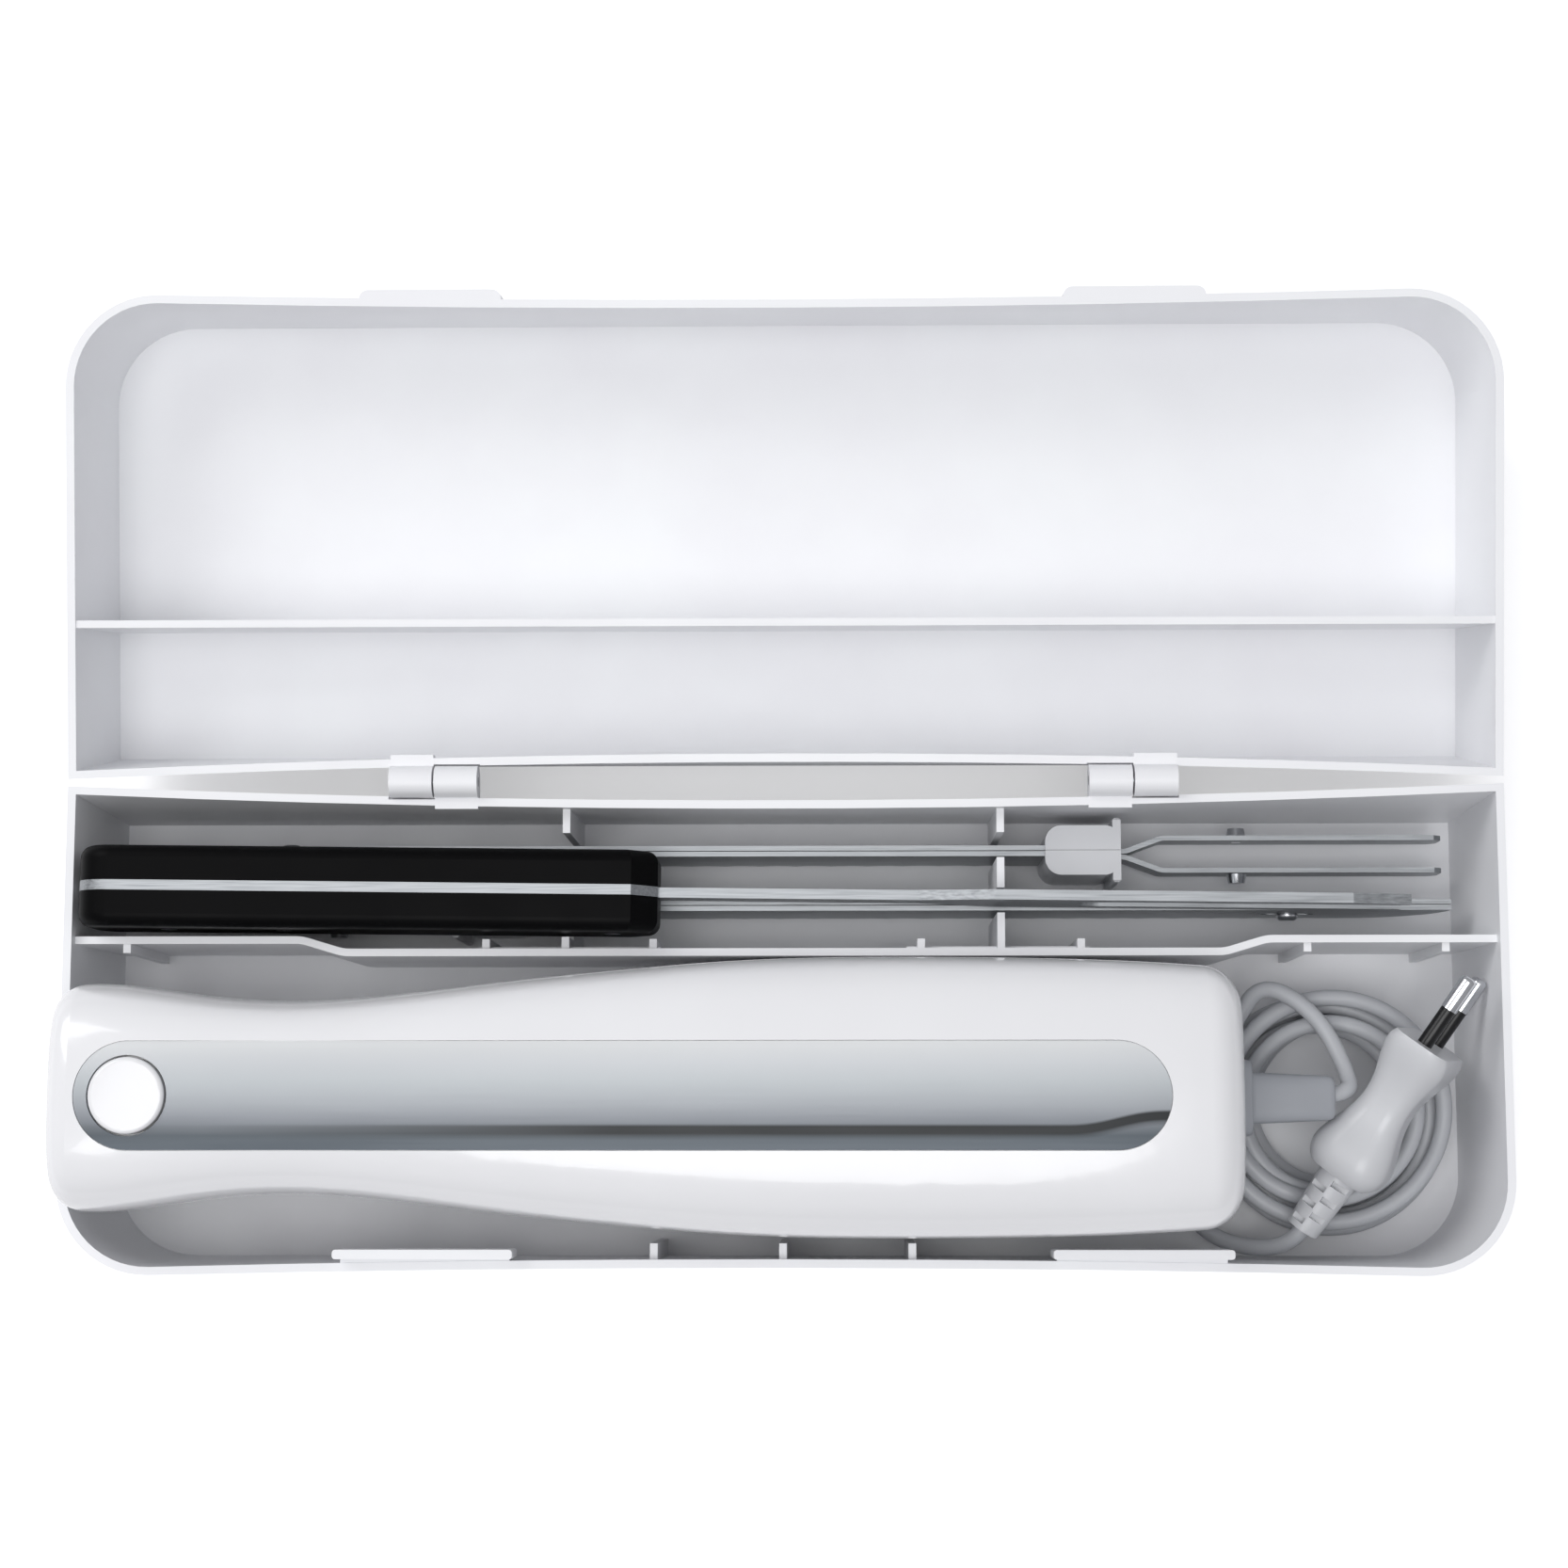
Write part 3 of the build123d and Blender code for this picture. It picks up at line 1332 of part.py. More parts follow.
plug_root = plug_plane.offset(plug_relief_length)
with BuildPart() as plug_body:
    for place_share, width_share, depth_share in plug_shares:
        with BuildSketch(plug_root.offset(place_share * plug_body_length)):
            width = width_share * plug_width
            depth = depth_share * plug_depth
            RectangleRounded(width, depth, min(width, depth) * plug_corner_share)
    loft()
    with BuildSketch(plug_face.offset(-plug_pin_depth)):
        with Locations((-plug_pin_spacing / 2, 0), (plug_pin_spacing / 2, 0)):
            Circle(plug_core_diameter / 2)
    extrude(amount=plug_pin_depth, mode=Mode.SUBTRACT)
write(plug_body.part, "plug_body")

with BuildPart() as pin_sleeves:
    with BuildSketch(plug_face):
        with Locations((-plug_pin_spacing / 2, 0), (plug_pin_spacing / 2, 0)):
            Circle(plug_sleeve_diameter / 2)
            Circle(plug_core_diameter / 2, mode=Mode.SUBTRACT)
    extrude(amount=plug_sleeve_length)
write(pin_sleeves.part, "pin_sleeves")

with BuildPart() as plug_pins:
    for pin_x in (-plug_pin_spacing / 2, plug_pin_spacing / 2):
        with BuildSketch(plug_face.offset(-plug_pin_depth)):
            with Locations((pin_x, 0)):
                Circle(plug_core_diameter / 2)
        extrude(amount=plug_pin_depth + plug_sleeve_length)
        with BuildSketch(plug_face.offset(plug_sleeve_length)):
            with Locations((pin_x, 0)):
                Circle(plug_pin_diameter / 2)
        extrude(amount=plug_pin_length - plug_sleeve_length)
    fillet(plug_pins.edges().filter_by(GeomType.CIRCLE).sort_by(Axis(plug_face.origin, plug_axis))[-2:],
           plug_pin_diameter * pin_round_share)
write(plug_pins.part, "plug_pins")

# Blades: two pairs, each of two flat blades that slide on one rivet
blade_low = motor_bottom + blade_lift
blade_high = blade_low + blade_height
tang_low = blade_low + tang_rise
blade_offset = (blade_wall + blade_gap) / 2
scallop_reach = (scallop_pitch - scallop_land) / 2
scallop_radius = (scallop_reach ** 2 + scallop_depth ** 2) / (2 * scallop_depth)
rivet_height = blade_low + rivet_rise_share * blade_height


def blade_profile(tip_x, heading):
    """Side view of a blade with its tang; heading is the way from the tip to the tang."""
    tang_x = tip_x + heading * (blade_length - tang_length)
    end_x = tip_x + heading * blade_length
    with BuildSketch() as drawing:
        with BuildLine():
            Polyline(
                (tip_x, blade_low),
                (tang_x, blade_low),
                (tang_x, tang_low),
                (end_x, tang_low),
                (end_x, tang_low + tang_height),
                (tang_x, tang_low + tang_height),
                (tang_x, blade_high),
                (tip_x, blade_high),
                close=True,
            )
        make_face()
        fillet(drawing.vertices().sort_by_distance((tip_x, blade_low))[0], tip_radius)
        ends = drawing.vertices().group_by(Axis.X)[-1 if heading > 0 else 0]
        chamfer(ends, tang_chamfer)
        for scallop in range(scallop_count):
            scallop_x = tip_x + heading * (tip_radius + (scallop + 1) * scallop_pitch)
            with Locations((scallop_x, blade_low + scallop_depth - scallop_radius)):
                Circle(scallop_radius, mode=Mode.SUBTRACT)
    return drawing.sketch_local


def blade_solid(y, side, tip_x, heading):
    """One blade without its rivet hole: side is the half of the pair it lies in."""
    flat_y = y + side * blade_offset
    splay_x = tip_x + heading * (guard_start + guard_length + tang_splay_start)
    with BuildPart() as blade:
        with BuildSketch(level(blade_low - overrun)):
            with BuildLine():
                FilletPolyline(
                    (tip_x - heading * overrun, flat_y),
                    (splay_x, flat_y),
                    (splay_x + heading * tang_splay_run, y + side * tang_spread / 2),
                    (tip_x + heading * (blade_length + overrun), y + side * tang_spread / 2),
                    radius=tang_splay_run / 2,
                )
            trace(line_width=blade_wall)
        extrude(amount=blade_height + 2 * overrun)
        with BuildSketch(lengthwise(y)):
            add(blade_profile(tip_x, heading))
        extrude(amount=tang_spread, both=True, mode=Mode.INTERSECT)
    return blade.part


for pair, y, tip_x, heading, dome_side in (
    ("pair_a", pair_a_y, pair_a_tip_x, 1, 1),
    ("pair_b", pair_b_y, pair_b_tip_x, -1, -1),
):
    rivet_x = tip_x + heading * rivet_inset
    guard_x = tip_x + heading * (guard_start + guard_length / 2)
    lip_x = tip_x + heading * (guard_start + guard_length - guard_lip_wall / 2)
    stud_x = tip_x + heading * (blade_length - stud_from_end)
    for side, hand in ((-1, "near"), (1, "far")):
        whole_blade = blade_solid(y, side, tip_x, heading)
        with BuildPart() as blade:
            add(whole_blade)
            with BuildSketch(lengthwise(y)):
                with Locations((rivet_x, rivet_height)):
                    if side == dome_side:
                        SlotOverall(2 * crank_throw + rivet_shank + 2 * seat_gap, rivet_shank + 2 * seat_gap)
                    else:
                        Circle(rivet_shank / 2)
                with Locations((stud_x, tang_low + tang_height / 2)):
                    Circle(stud_shank / 2)
            extrude(amount=tang_spread, both=True, mode=Mode.SUBTRACT)
        write(blade.part, pair + "_" + hand + "_blade")

        with BuildPart() as guard:
            with BuildSketch(level(motor_bottom)):
                with Locations((guard_x, y)):
                    RectangleRounded(guard_length, guard_width - 2 * guard_lip, guard_corner)
                with Locations((lip_x, y)):
                    Rectangle(guard_lip_wall, guard_width)
                with Locations((guard_x, y - side * guard_width / 2)):
                    Rectangle(2 * guard_length, guard_width + 2 * running_gap, mode=Mode.SUBTRACT)
            extrude(amount=guard_height)
            outer = guard.faces().sort_by(Axis.Y)[0 if side < 0 else -1]
            chamfer(outer.edges(), guard_lip_wall / 4)
            add(whole_blade, mode=Mode.SUBTRACT)
        write(guard.part, pair + "_" + hand + "_guard")

        with BuildPart() as tang_stud:
            stud_root = y + side * (tang_spread - blade_wall) / 2
            with BuildSketch(lengthwise(stud_root)):
                with Locations((stud_x, tang_low + tang_height / 2)):
                    Circle(stud_shank / 2)
            extrude(amount=-side * (blade_wall + stud_height))
            with BuildSketch(lengthwise(stud_root + side * blade_wall)):
                with Locations((stud_x, tang_low + tang_height / 2)):
                    Circle(stud_diameter / 2)
            extrude(amount=-side * stud_height, taper=stud_taper)
        write(tang_stud.part, pair + "_" + hand + "_stud")

    with BuildPart() as blade_rivet:
        back = y - dome_side * (blade_wall + blade_gap / 2)
        front = y + dome_side * (blade_wall + blade_gap / 2 + running_gap)
        with BuildSketch(lengthwise(back)):
            with Locations((rivet_x, rivet_height)):
                Circle(rivet_shank / 2)
        extrude(amount=-dome_side * (abs(front - back) + rivet_dome / 2))
        with BuildSketch(lengthwise(front)):
            with Locations((rivet_x, rivet_height)):
                Circle(rivet_diameter / 2)
        extrude(amount=-dome_side * rivet_dome)
        dome_edges = blade_rivet.edges().filter_by(GeomType.CIRCLE).sort_by(Axis.Y)
        fillet(dome_edges[-1 if dome_side > 0 else 0], rivet_dome * rivet_round_share)
    write(blade_rivet.part, pair + "_rivet")

# Carving fork: one steel blank with two handle scales
yaw = math.radians(fork_yaw)
fork_plane = Plane(
    origin=(fork_start_x, fork_y, handle_bottom + handle_height / 2),
    x_dir=(math.cos(yaw), math.sin(yaw), 0),
    z_dir=(math.sin(yaw), -math.cos(yaw), 0),
)


def handle_outline():
    """Side view of the handle: round at the butt, chamfered in front."""
    with BuildSketch() as drawing:
        with Locations((handle_length / 2, 0)):
            Rectangle(handle_length, handle_height)
        chamfer(drawing.vertices().group_by(Axis.X)[-1], handle_chamfer)
        fillet(drawing.vertices().group_by(Axis.X)[0], handle_height / 3)
    return drawing.sketch_local


with BuildPart() as fork_blank:
    with BuildSketch(fork_plane):
        add(handle_outline())
        with BuildLine():
            head_x = handle_length + stem_length
            Polyline(
                (handle_length - handle_chamfer * 2, -stem_height / 2),
                (head_x, -stem_height / 2),
                (head_x + head_flare, head_middle - head_height / 2),
                (fork_length - tip_run, head_middle - head_height / 2),
                (fork_length, head_middle - head_height / 2 + tine_height / 2),
                (fork_length, head_middle + head_height / 2 - tine_height / 2),
                (fork_length - tip_run, head_middle + head_height / 2),
                (head_x + head_flare, head_middle + head_height / 2),
                (head_x, stem_height / 2),
                (handle_length - handle_chamfer * 2, stem_height / 2),
                close=True,
            )
        make_face()
        gap_height = head_height - 2 * tine_height
        with Locations((fork_length - tine_length / 2 + overrun, head_middle)):
            SlotOverall(tine_length + 2 * overrun, gap_height, mode=Mode.SUBTRACT)
        with Locations((fork_length + gap_height / 2 - overrun, head_middle)):
            Rectangle(gap_height + 2 * overrun, gap_height, mode=Mode.SUBTRACT)
        with Locations(*((share * handle_length, 0) for share in fork_rivet_shares)):
            Circle(fork_rivet_diameter / 2, mode=Mode.SUBTRACT)
    extrude(amount=fork_wall / 2, both=True)
write(fork_blank.part, "fork_blank")

scale_wall = (handle_thickness - fork_wall) / 2
with BuildPart() as fork_scales:
    for side in (-1, 1):
        with BuildSketch(fork_plane.offset(side * fork_wall / 2)):
            add(handle_outline())
        extrude(amount=side * scale_wall)
    for face in (fork_scales.faces().sort_by(Axis.Y)[0], fork_scales.faces().sort_by(Axis.Y)[-1]):
        fillet(face.edges(), scale_round)
    with BuildSketch(fork_plane):
        with Locations(*((share * handle_length, 0) for share in fork_rivet_shares)):
            Circle(fork_rivet_diameter / 2)
    extrude(amount=handle_thickness, both=True, mode=Mode.SUBTRACT)
write(fork_scales.part, "fork_scales")

with BuildPart() as fork_rivets:
    with BuildSketch(fork_plane):
        with Locations(*((share * handle_length, 0) for share in fork_rivet_shares)):
            Circle(fork_rivet_diameter / 2)
    extrude(amount=handle_thickness / 2, both=True)
write(fork_rivets.part, "fork_rivets")
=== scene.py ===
import math

import bmesh
import bpy
from bpy.props import FloatProperty, FloatVectorProperty, IntProperty, PointerProperty
from bpy.types import Operator, Panel, PropertyGroup
from mathutils import Matrix, Vector


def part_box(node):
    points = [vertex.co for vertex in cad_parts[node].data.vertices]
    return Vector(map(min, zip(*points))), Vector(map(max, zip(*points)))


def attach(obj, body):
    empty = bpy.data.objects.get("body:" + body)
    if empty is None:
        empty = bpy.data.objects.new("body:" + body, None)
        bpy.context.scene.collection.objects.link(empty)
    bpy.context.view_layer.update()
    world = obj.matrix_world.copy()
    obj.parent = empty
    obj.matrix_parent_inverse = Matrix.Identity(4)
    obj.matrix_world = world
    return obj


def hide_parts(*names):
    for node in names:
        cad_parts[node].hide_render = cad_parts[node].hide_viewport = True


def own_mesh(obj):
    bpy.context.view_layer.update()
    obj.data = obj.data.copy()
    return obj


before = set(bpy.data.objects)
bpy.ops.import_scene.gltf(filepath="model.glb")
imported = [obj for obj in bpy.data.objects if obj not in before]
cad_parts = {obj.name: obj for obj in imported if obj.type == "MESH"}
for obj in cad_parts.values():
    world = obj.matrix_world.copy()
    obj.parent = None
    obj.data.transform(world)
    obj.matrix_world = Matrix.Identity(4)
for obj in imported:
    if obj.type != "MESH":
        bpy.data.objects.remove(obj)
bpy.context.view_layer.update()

bl_info = {
    "name": "Carving Knife Set Dressing",
    "version": (1, 0, 0),
    "blender": (4, 5, 0),
    "location": "View3D > Sidebar > Carving",
    "description": "Cord, springs, finishes and studio of the electric carving knife in its case",
    "category": "Object",
}

MM = 0.001
# A brushed or rolled surface's lines run along X, so its noise is stretched that way
LENGTHWISE = (0.03, 1, 1)
# A wave texture repeats this many times in one unit of its scale
BANDS_PER_CYCLE = 20


# Colours, sizes and nodes
def colour(code):
    """Linear colour from an sRGB hex code."""
    parts = [int(code[place:place + 2], 16) / 255 for place in (1, 3, 5)]
    linear = [part / 12.92 if part <= 0.04045 else ((part + 0.055) / 1.055) ** 2.4 for part in parts]
    return (*linear, 1.0)


def cycles(size_mm):
    """How often a pattern of this size in millimetres repeats in a metre."""
    return 1 / (size_mm * MM)


def add(tree, kind, settings=None, links=None):
    """One node with its settings, its colour stops and its links, which name or number its inputs."""
    made = tree.nodes.new(kind)
    for name, value in (settings or {}).items():
        if name == "stops":
            band = made.color_ramp
            while len(band.elements) < len(value):
                band.elements.new(0.5)
            for element, (place, tone) in zip(band.elements, value):
                element.position = place
                element.color = colour(tone) if isinstance(tone, str) else (tone, tone, tone, 1.0)
        elif name in made.inputs:
            made.inputs[name].default_value = value
        else:
            setattr(made, name, value)
    for name, socket in (links or {}).items():
        tree.links.new(socket, made.inputs[name])
    return made


def fresh(name, **settings):
    """A new material, its node tree, its shader and the piece's own coordinates."""
    mat = bpy.data.materials.new(name)
    mat.use_nodes = True
    tree = mat.node_tree
    shader = tree.nodes["Principled BSDF"]
    for key, value in settings.items():
        shader.inputs[key.replace("_", " ")].default_value = value
    return mat, tree, shader, add(tree, "ShaderNodeTexCoord").outputs["Object"]


def texture(tree, place, size_mm, detail=3.0, stretch=(1, 1, 1)):
    """Noise whose spots have a size in millimetres, stretched where it is brushed or drawn."""
    mapping = add(tree, "ShaderNodeMapping", {"Scale": stretch}, {"Vector": place})
    noise = add(tree, "ShaderNodeTexNoise", {"Scale": cycles(size_mm), "Detail": detail},
                {"Vector": mapping.outputs["Vector"]})
    return noise.outputs["Fac"]


def paint(tree, shader, socket, value, stops):
    """Runs a value through stops into a socket of the shader."""
    band = add(tree, "ShaderNodeValToRGB", {"stops": stops}, {"Fac": value})
    tree.links.new(band.outputs["Color"], shader.inputs[socket])


def relief(tree, shader, height, strength, depth_mm):
    """Fine relief on the surface."""
    made = add(tree, "ShaderNodeBump", {"Strength": strength, "Distance": depth_mm * MM},
               {"Height": height})
    tree.links.new(made.outputs["Normal"], shader.inputs["Normal"])


def moulded(name, tone, shade, gloss, grain_mm, depth_mm, **settings):
    """A moulded plastic: slow drift of tone from its filler, uneven gloss, and the mould's grain."""
    mat, tree, shader, place = fresh(name, **settings)
    drift = texture(tree, place, 45.0, 4.0)
    sheen = texture(tree, place, 12.0, 5.0)
    paint(tree, shader, "Base Color", drift, ((0.3, shade), (0.7, tone)))
    paint(tree, shader, "Roughness", sheen, ((0.3, gloss - 0.04), (0.7, gloss + 0.04)))
    relief(tree, shader, texture(tree, place, grain_mm, 2.0), 0.3, depth_mm)
    return mat


def drawn(name, tone, shade, gloss, line_mm, **settings):
    """A rolled or brushed metal: fine lines along the piece that streak its highlights."""
    mat, tree, shader, place = fresh(name, Metallic=1.0, **settings)
    lines = texture(tree, place, line_mm, 6.0, LENGTHWISE)
    paint(tree, shader, "Base Color", lines, ((0.3, shade), (0.7, tone)))
    paint(tree, shader, "Roughness", lines, ((0.3, gloss - 0.07), (0.7, gloss + 0.09)))
    relief(tree, shader, lines, 0.25, 0.01)
    return mat


def turned(name, tone, shade, gloss, **settings):
    """A turned or plated metal: bright, with faint smears from handling."""
    mat, tree, shader, place = fresh(name, Metallic=1.0, **settings)
    smear = texture(tree, place, 6.0, 4.0)
    paint(tree, shader, "Base Color", smear, ((0.3, shade), (0.7, tone)))
    paint(tree, shader, "Roughness", smear, ((0.3, gloss), (0.7, gloss + 0.06)))
    return mat


def banded(name, tone, gap, pitch_mm, axis, metal, gloss):
    """Sheets or wires that lie side by side along one axis, with the gaps between them."""
    mat, tree, shader, place = fresh(name, Metallic=metal, Roughness=gloss)
    wave = add(tree, "ShaderNodeTexWave",
               {"bands_direction": axis, "Scale": cycles(pitch_mm) / BANDS_PER_CYCLE}, {"Vector": place})
    bands = wave.outputs["Fac"]
    paint(tree, shader, "Base Color", bands, ((0.05, gap), (0.5, tone)))
    relief(tree, shader, bands, 0.6, 0.2)
    return mat


def plated_inlay():
    """Vacuum-plated plastic strip with a painted reflection in its colour: pale at its far edge and greyer
    towards the near one, with one painted dark line that widens towards the tail and sweeps up at its end, where
    bright plating would mirror a dark edge."""
    low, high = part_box("top_inlay")
    mat, tree, shader, place = fresh("Plated Inlay", Metallic=0.1, Specular_IOR_Level=0.3)
    axes = add(tree, "ShaderNodeSeparateXYZ", links={"Vector": place})
    along = add(tree, "ShaderNodeMapRange", {"From Min": low[0], "From Max": high[0]},
                {"Value": axes.outputs["X"]}).outputs["Result"]
    across = add(tree, "ShaderNodeMapRange", {"From Min": low[1], "From Max": high[1]},
                 {"Value": axes.outputs["Y"]}).outputs["Result"]
    # Painted reflection: pale at the far edge and greyer towards the near one
    base = add(tree, "ShaderNodeValToRGB", {"stops": (
        (0.0, "#5C646C"), (0.13, "#545C63"), (0.3, "#8A8E94"), (0.42, "#A2A6AB"), (0.62, "#BBC0C3"),
        (0.8, "#CDD0D3"), (0.96, "#DBDDDE"))}, {"Fac": across})
    # The painted reflection line lifts at the tail end, where it follows the rounded corner
    lift = add(tree, "ShaderNodeMapRange", {
        "interpolation_type": "SMOOTHERSTEP", "From Min": 0.9, "From Max": 1.0, "To Max": 0.13},
        {"Value": along})
    lowered = add(tree, "ShaderNodeMath", {"operation": "SUBTRACT"},
                  {0: across, 1: lift.outputs["Result"]})
    # Painted reflection: one dark line along the strip near its near edge, stronger towards the tail
    line = add(tree, "ShaderNodeValToRGB", {"stops": (
        (0.09, 0.0), (0.125, 0.45), (0.15, 1.0), (0.215, 1.0), (0.24, 0.0))},
        {"Fac": lowered.outputs["Value"]})
    strength = add(tree, "ShaderNodeMapRange", {
        "From Min": 0.12, "From Max": 0.5, "To Min": 0.12, "To Max": 0.97}, {"Value": along})
    painted_reflection_amount = add(tree, "ShaderNodeMath", {"operation": "MULTIPLY"},
                 {0: line.outputs["Color"], 1: strength.outputs["Result"]})
    # Inputs 6 and 7 of the mix are its two colours
    mix = add(tree, "ShaderNodeMix", {"data_type": "RGBA"},
              {"Factor": painted_reflection_amount.outputs["Value"], 6: base.outputs["Color"]})
    # Colour of the painted dark reflection line
    mix.inputs[7].default_value = colour("#1C1F21")
    tree.links.new(mix.outputs[2], shader.inputs["Base Color"])
    paint(tree, shader, "Roughness", texture(tree, place, 0.8, 5.0, LENGTHWISE), ((0.2, 0.3), (0.8, 0.4)))
    return mat


# Settings
class CarvingCordSettings(PropertyGroup):
    """Sizes of the mains cord."""
    diameter: FloatProperty(
        name="Diameter", description="Outer diameter of the cord", default=4.0 * MM, unit="LENGTH")
    length: FloatProperty(
        name="Length", description="Length from the gland to the plug", default=1.345, unit="LENGTH")
    radius: FloatProperty(
        name="Outer radius", description="Radius of the coil's outermost turn", default=32.0 * MM, unit="LENGTH")
    pitch: FloatProperty(
        name="Turn spacing", description="Distance between turns that lie side by side",
        default=5.3 * MM, unit="LENGTH")
    layer: FloatProperty(
        name="Layer spacing", description="Height of one layer of turns", default=4.6 * MM, unit="LENGTH")
    centre: FloatVectorProperty(
        name="Centre", description="Middle of the coil's lowest layer",
        default=(133.4 * MM, -18.6 * MM, 4.3 * MM), subtype="TRANSLATION", unit="LENGTH")
    start: FloatProperty(
        name="Start", description="Direction from the middle to where the coil starts",
        default=math.radians(150), subtype="ANGLE", unit="ROTATION")
    steps: IntProperty(
        name="Points", description="Control points in half a turn", default=8, min=6)
    loose: FloatProperty(
        name="Looseness", description="How far the turns stray from the neat coil",
        default=1.6 * MM, unit="LENGTH")


class CarvingSpringSettings(PropertyGroup):
    """Wire and turns of the two control springs."""
    wire: FloatProperty(name="Wire", description="Wire diameter", default=0.6 * MM, unit="LENGTH")
    turns: IntProperty(name="Turns", description="Number of turns", default=4, min=1)


class CarvingStageSettings(PropertyGroup):
    """Camera, lamps and surround."""
    eye: FloatVectorProperty(
        name="Camera", description="Where the camera stands",
        default=(0.0129, -0.0302, 0.7413), subtype="TRANSLATION", unit="LENGTH")
    ahead: FloatVectorProperty(
        name="View", description="Direction of view",
        default=(-0.018005, 0.12643, -0.99182), subtype="DIRECTION")
    lens: FloatProperty(name="Lens", description="Focal length in millimetres on a 36 mm frame", default=67.31)
    key: FloatProperty(
        name="Key", description="Power of the lamp beyond the lid's left corner",
        default=12.0, subtype="POWER", unit="POWER")
    overhead: FloatProperty(
        name="Overhead", description="Power of the wide overhead lamp",
        default=23.0, subtype="POWER", unit="POWER")
    surround: FloatProperty(name="Surround", description="Strength of the even studio light", default=0.43)


# Objects
def placed(name, data):
    """An object of this name in the scene, at the origin."""
    piece = bpy.data.objects.new(name, data)
    bpy.context.collection.objects.link(piece)
    return piece


def meshed(name, shape):
    """An object made from a finished shape."""
    mesh = bpy.data.meshes.new(name)
    shape.to_mesh(mesh)
    shape.free()
    return placed(name, mesh)


# Cord: the route's corners on the way from the gland to the coil, measured from the gland's mouth,
# and from the coil to the plug, measured from the coil's middle
LEAD_RUNS_MM = ((-12.0, 0.0, 0.0), (4.4, 0.0, 0.0), (4.4, 7.0, -6.0), (-1.6, 21.0, -12.8), (-14.1, 29.0, -15.6))
TAIL_RUNS_MM = ((-36.9, -11.4, 2.7), (-34.4, -26.4, 8.7), (-25.4, -32.9, 13.7))
GLAND_MOUTH = Vector((130.8, -16.2, 38.0)) * MM
PLUG_ENTRY = Vector((124.4, -47.1, 27.4)) * MM
PLUG_AXIS = Vector((0.5449, 0.8078, 0.2250)).normalized()
# Straight stretches before the coil and the plug, and after the coil
STRAIGHT = 6.0 * MM
COIL_LEAVE = 9.8 * MM
LAYERS = 4
# Slow turns of the stray, per radian of coil, so that no two turns stray alike
STRAY_X, STRAY_Y, STRAY_START = 0.15, 0.19, 0.6


def coil_points(cord):
    """The coil's control points: layers wound in and out, with a half turn down between two layers."""
    half_turns = []
    angle, radius, height = cord.start, cord.radius, cord.centre[2] + (LAYERS - 1) * cord.layer
    for layer in range(LAYERS):
        step = cord.pitch / 2 * (-1 if layer % 2 == 0 else 1)
        for _ in range(3 if layer else 4):
            half_turns.append((angle, radius, radius + step, height, height))
            angle += math.pi
            radius += step
        if layer < LAYERS - 1:
            half_turns.append((angle, radius, radius, height, height - cord.layer))
            angle += math.pi
            height -= cord.layer
    middle = Vector((cord.centre[0], cord.centre[1], 0))
    # A quadratic spline runs inside its control points by this share
    outside = 1 / math.cos(math.pi / (2 * cord.steps))
    places = []
    for angle, first, last, high, low in half_turns:
        out = Vector((math.cos(angle), math.sin(angle), 0))
        way = Vector((-out.y, out.x, 0))
        for step in range(cord.steps):
            turn = math.pi * step / cord.steps
            radial = out * math.cos(turn) + way * math.sin(turn)
            reach = ((first + last) / 2 - cord.loose) * outside
            place = middle + out * (first - last) / 2 + radial * reach
            wound = angle + turn
            stray = Vector((math.cos(STRAY_X * wound + STRAY_START), math.sin(STRAY_Y * wound), 0))
            place += stray * cord.loose
            place.z = high - (high - low) * (1 - math.cos(turn)) / 2
            places.append(place)
    places.append(middle - out * last + Vector((0, 0, low)))
    return places


def cord_route(cord):
    """Every control point of the cord, from inside the gland to the plug."""
    way = Vector((-math.sin(cord.start), math.cos(cord.start), 0))
    coil = coil_points(cord)
    route = [GLAND_MOUTH + Vector(run) * MM for run in LEAD_RUNS_MM]
    route.append(coil[0] - way * STRAIGHT)
    route += coil
    route.append(coil[-1] + way * COIL_LEAVE)
    route += [Vector(cord.centre) + Vector(run) * MM for run in TAIL_RUNS_MM]
    return route + [PLUG_ENTRY - PLUG_AXIS * STRAIGHT, PLUG_ENTRY]


def build_cord(cord):
    """The whole cord as one smooth spline that stands for its three solids."""
    line = bpy.data.curves.new("mains_cord", "CURVE")
    line.dimensions = "3D"
    spline = line.splines.new("NURBS")
    route = cord_route(cord)
    spline.points.add(len(route) - 1)
    for point, place in zip(spline.points, route):
        point.co = (*place, 1.0)
    spline.order_u = 3
    spline.use_endpoint_u = True
    spline.resolution_u = 8
    line.bevel_depth = cord.diameter / 2
    line.bevel_resolution = 6
    piece = placed("mains_cord", line)
    # Soft PVC sheath: smooth and a little waxy, with slow shifts of grey
    line.materials.append(
        moulded("Soft PVC Sheath", "#C2C4C8", "#B9BBBF", 0.42, 1.2, 0.02, Coat_Weight=0.1))
    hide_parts("cord_lead", "cord_coil", "cord_tail")
    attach(piece, "machine")


# Gland boot: each section's place behind the housing's middle, its width and its height
BOOT_SECTIONS_MM = (
    (107.2, 18.0, 14.0), (107.7, 18.0, 14.0), (110.3, 18.0, 14.0), (110.8, 17.4, 13.4),
    (110.8, 12.6, 9.2), (111.8, 12.2, 9.0), (120.8, 11.4, 8.4),
)
# The mouth's rounded lip, measured back from the boot's end
LIP_SECTIONS_MM = ((1.6, 10.6, 7.8), (0.4, 9.8, 7.2), (0.0, 8.2, 6.0))
BOOT_POINTS = 48
# A section's corners are square at a high power and round at two
BOOT_POWER = 5


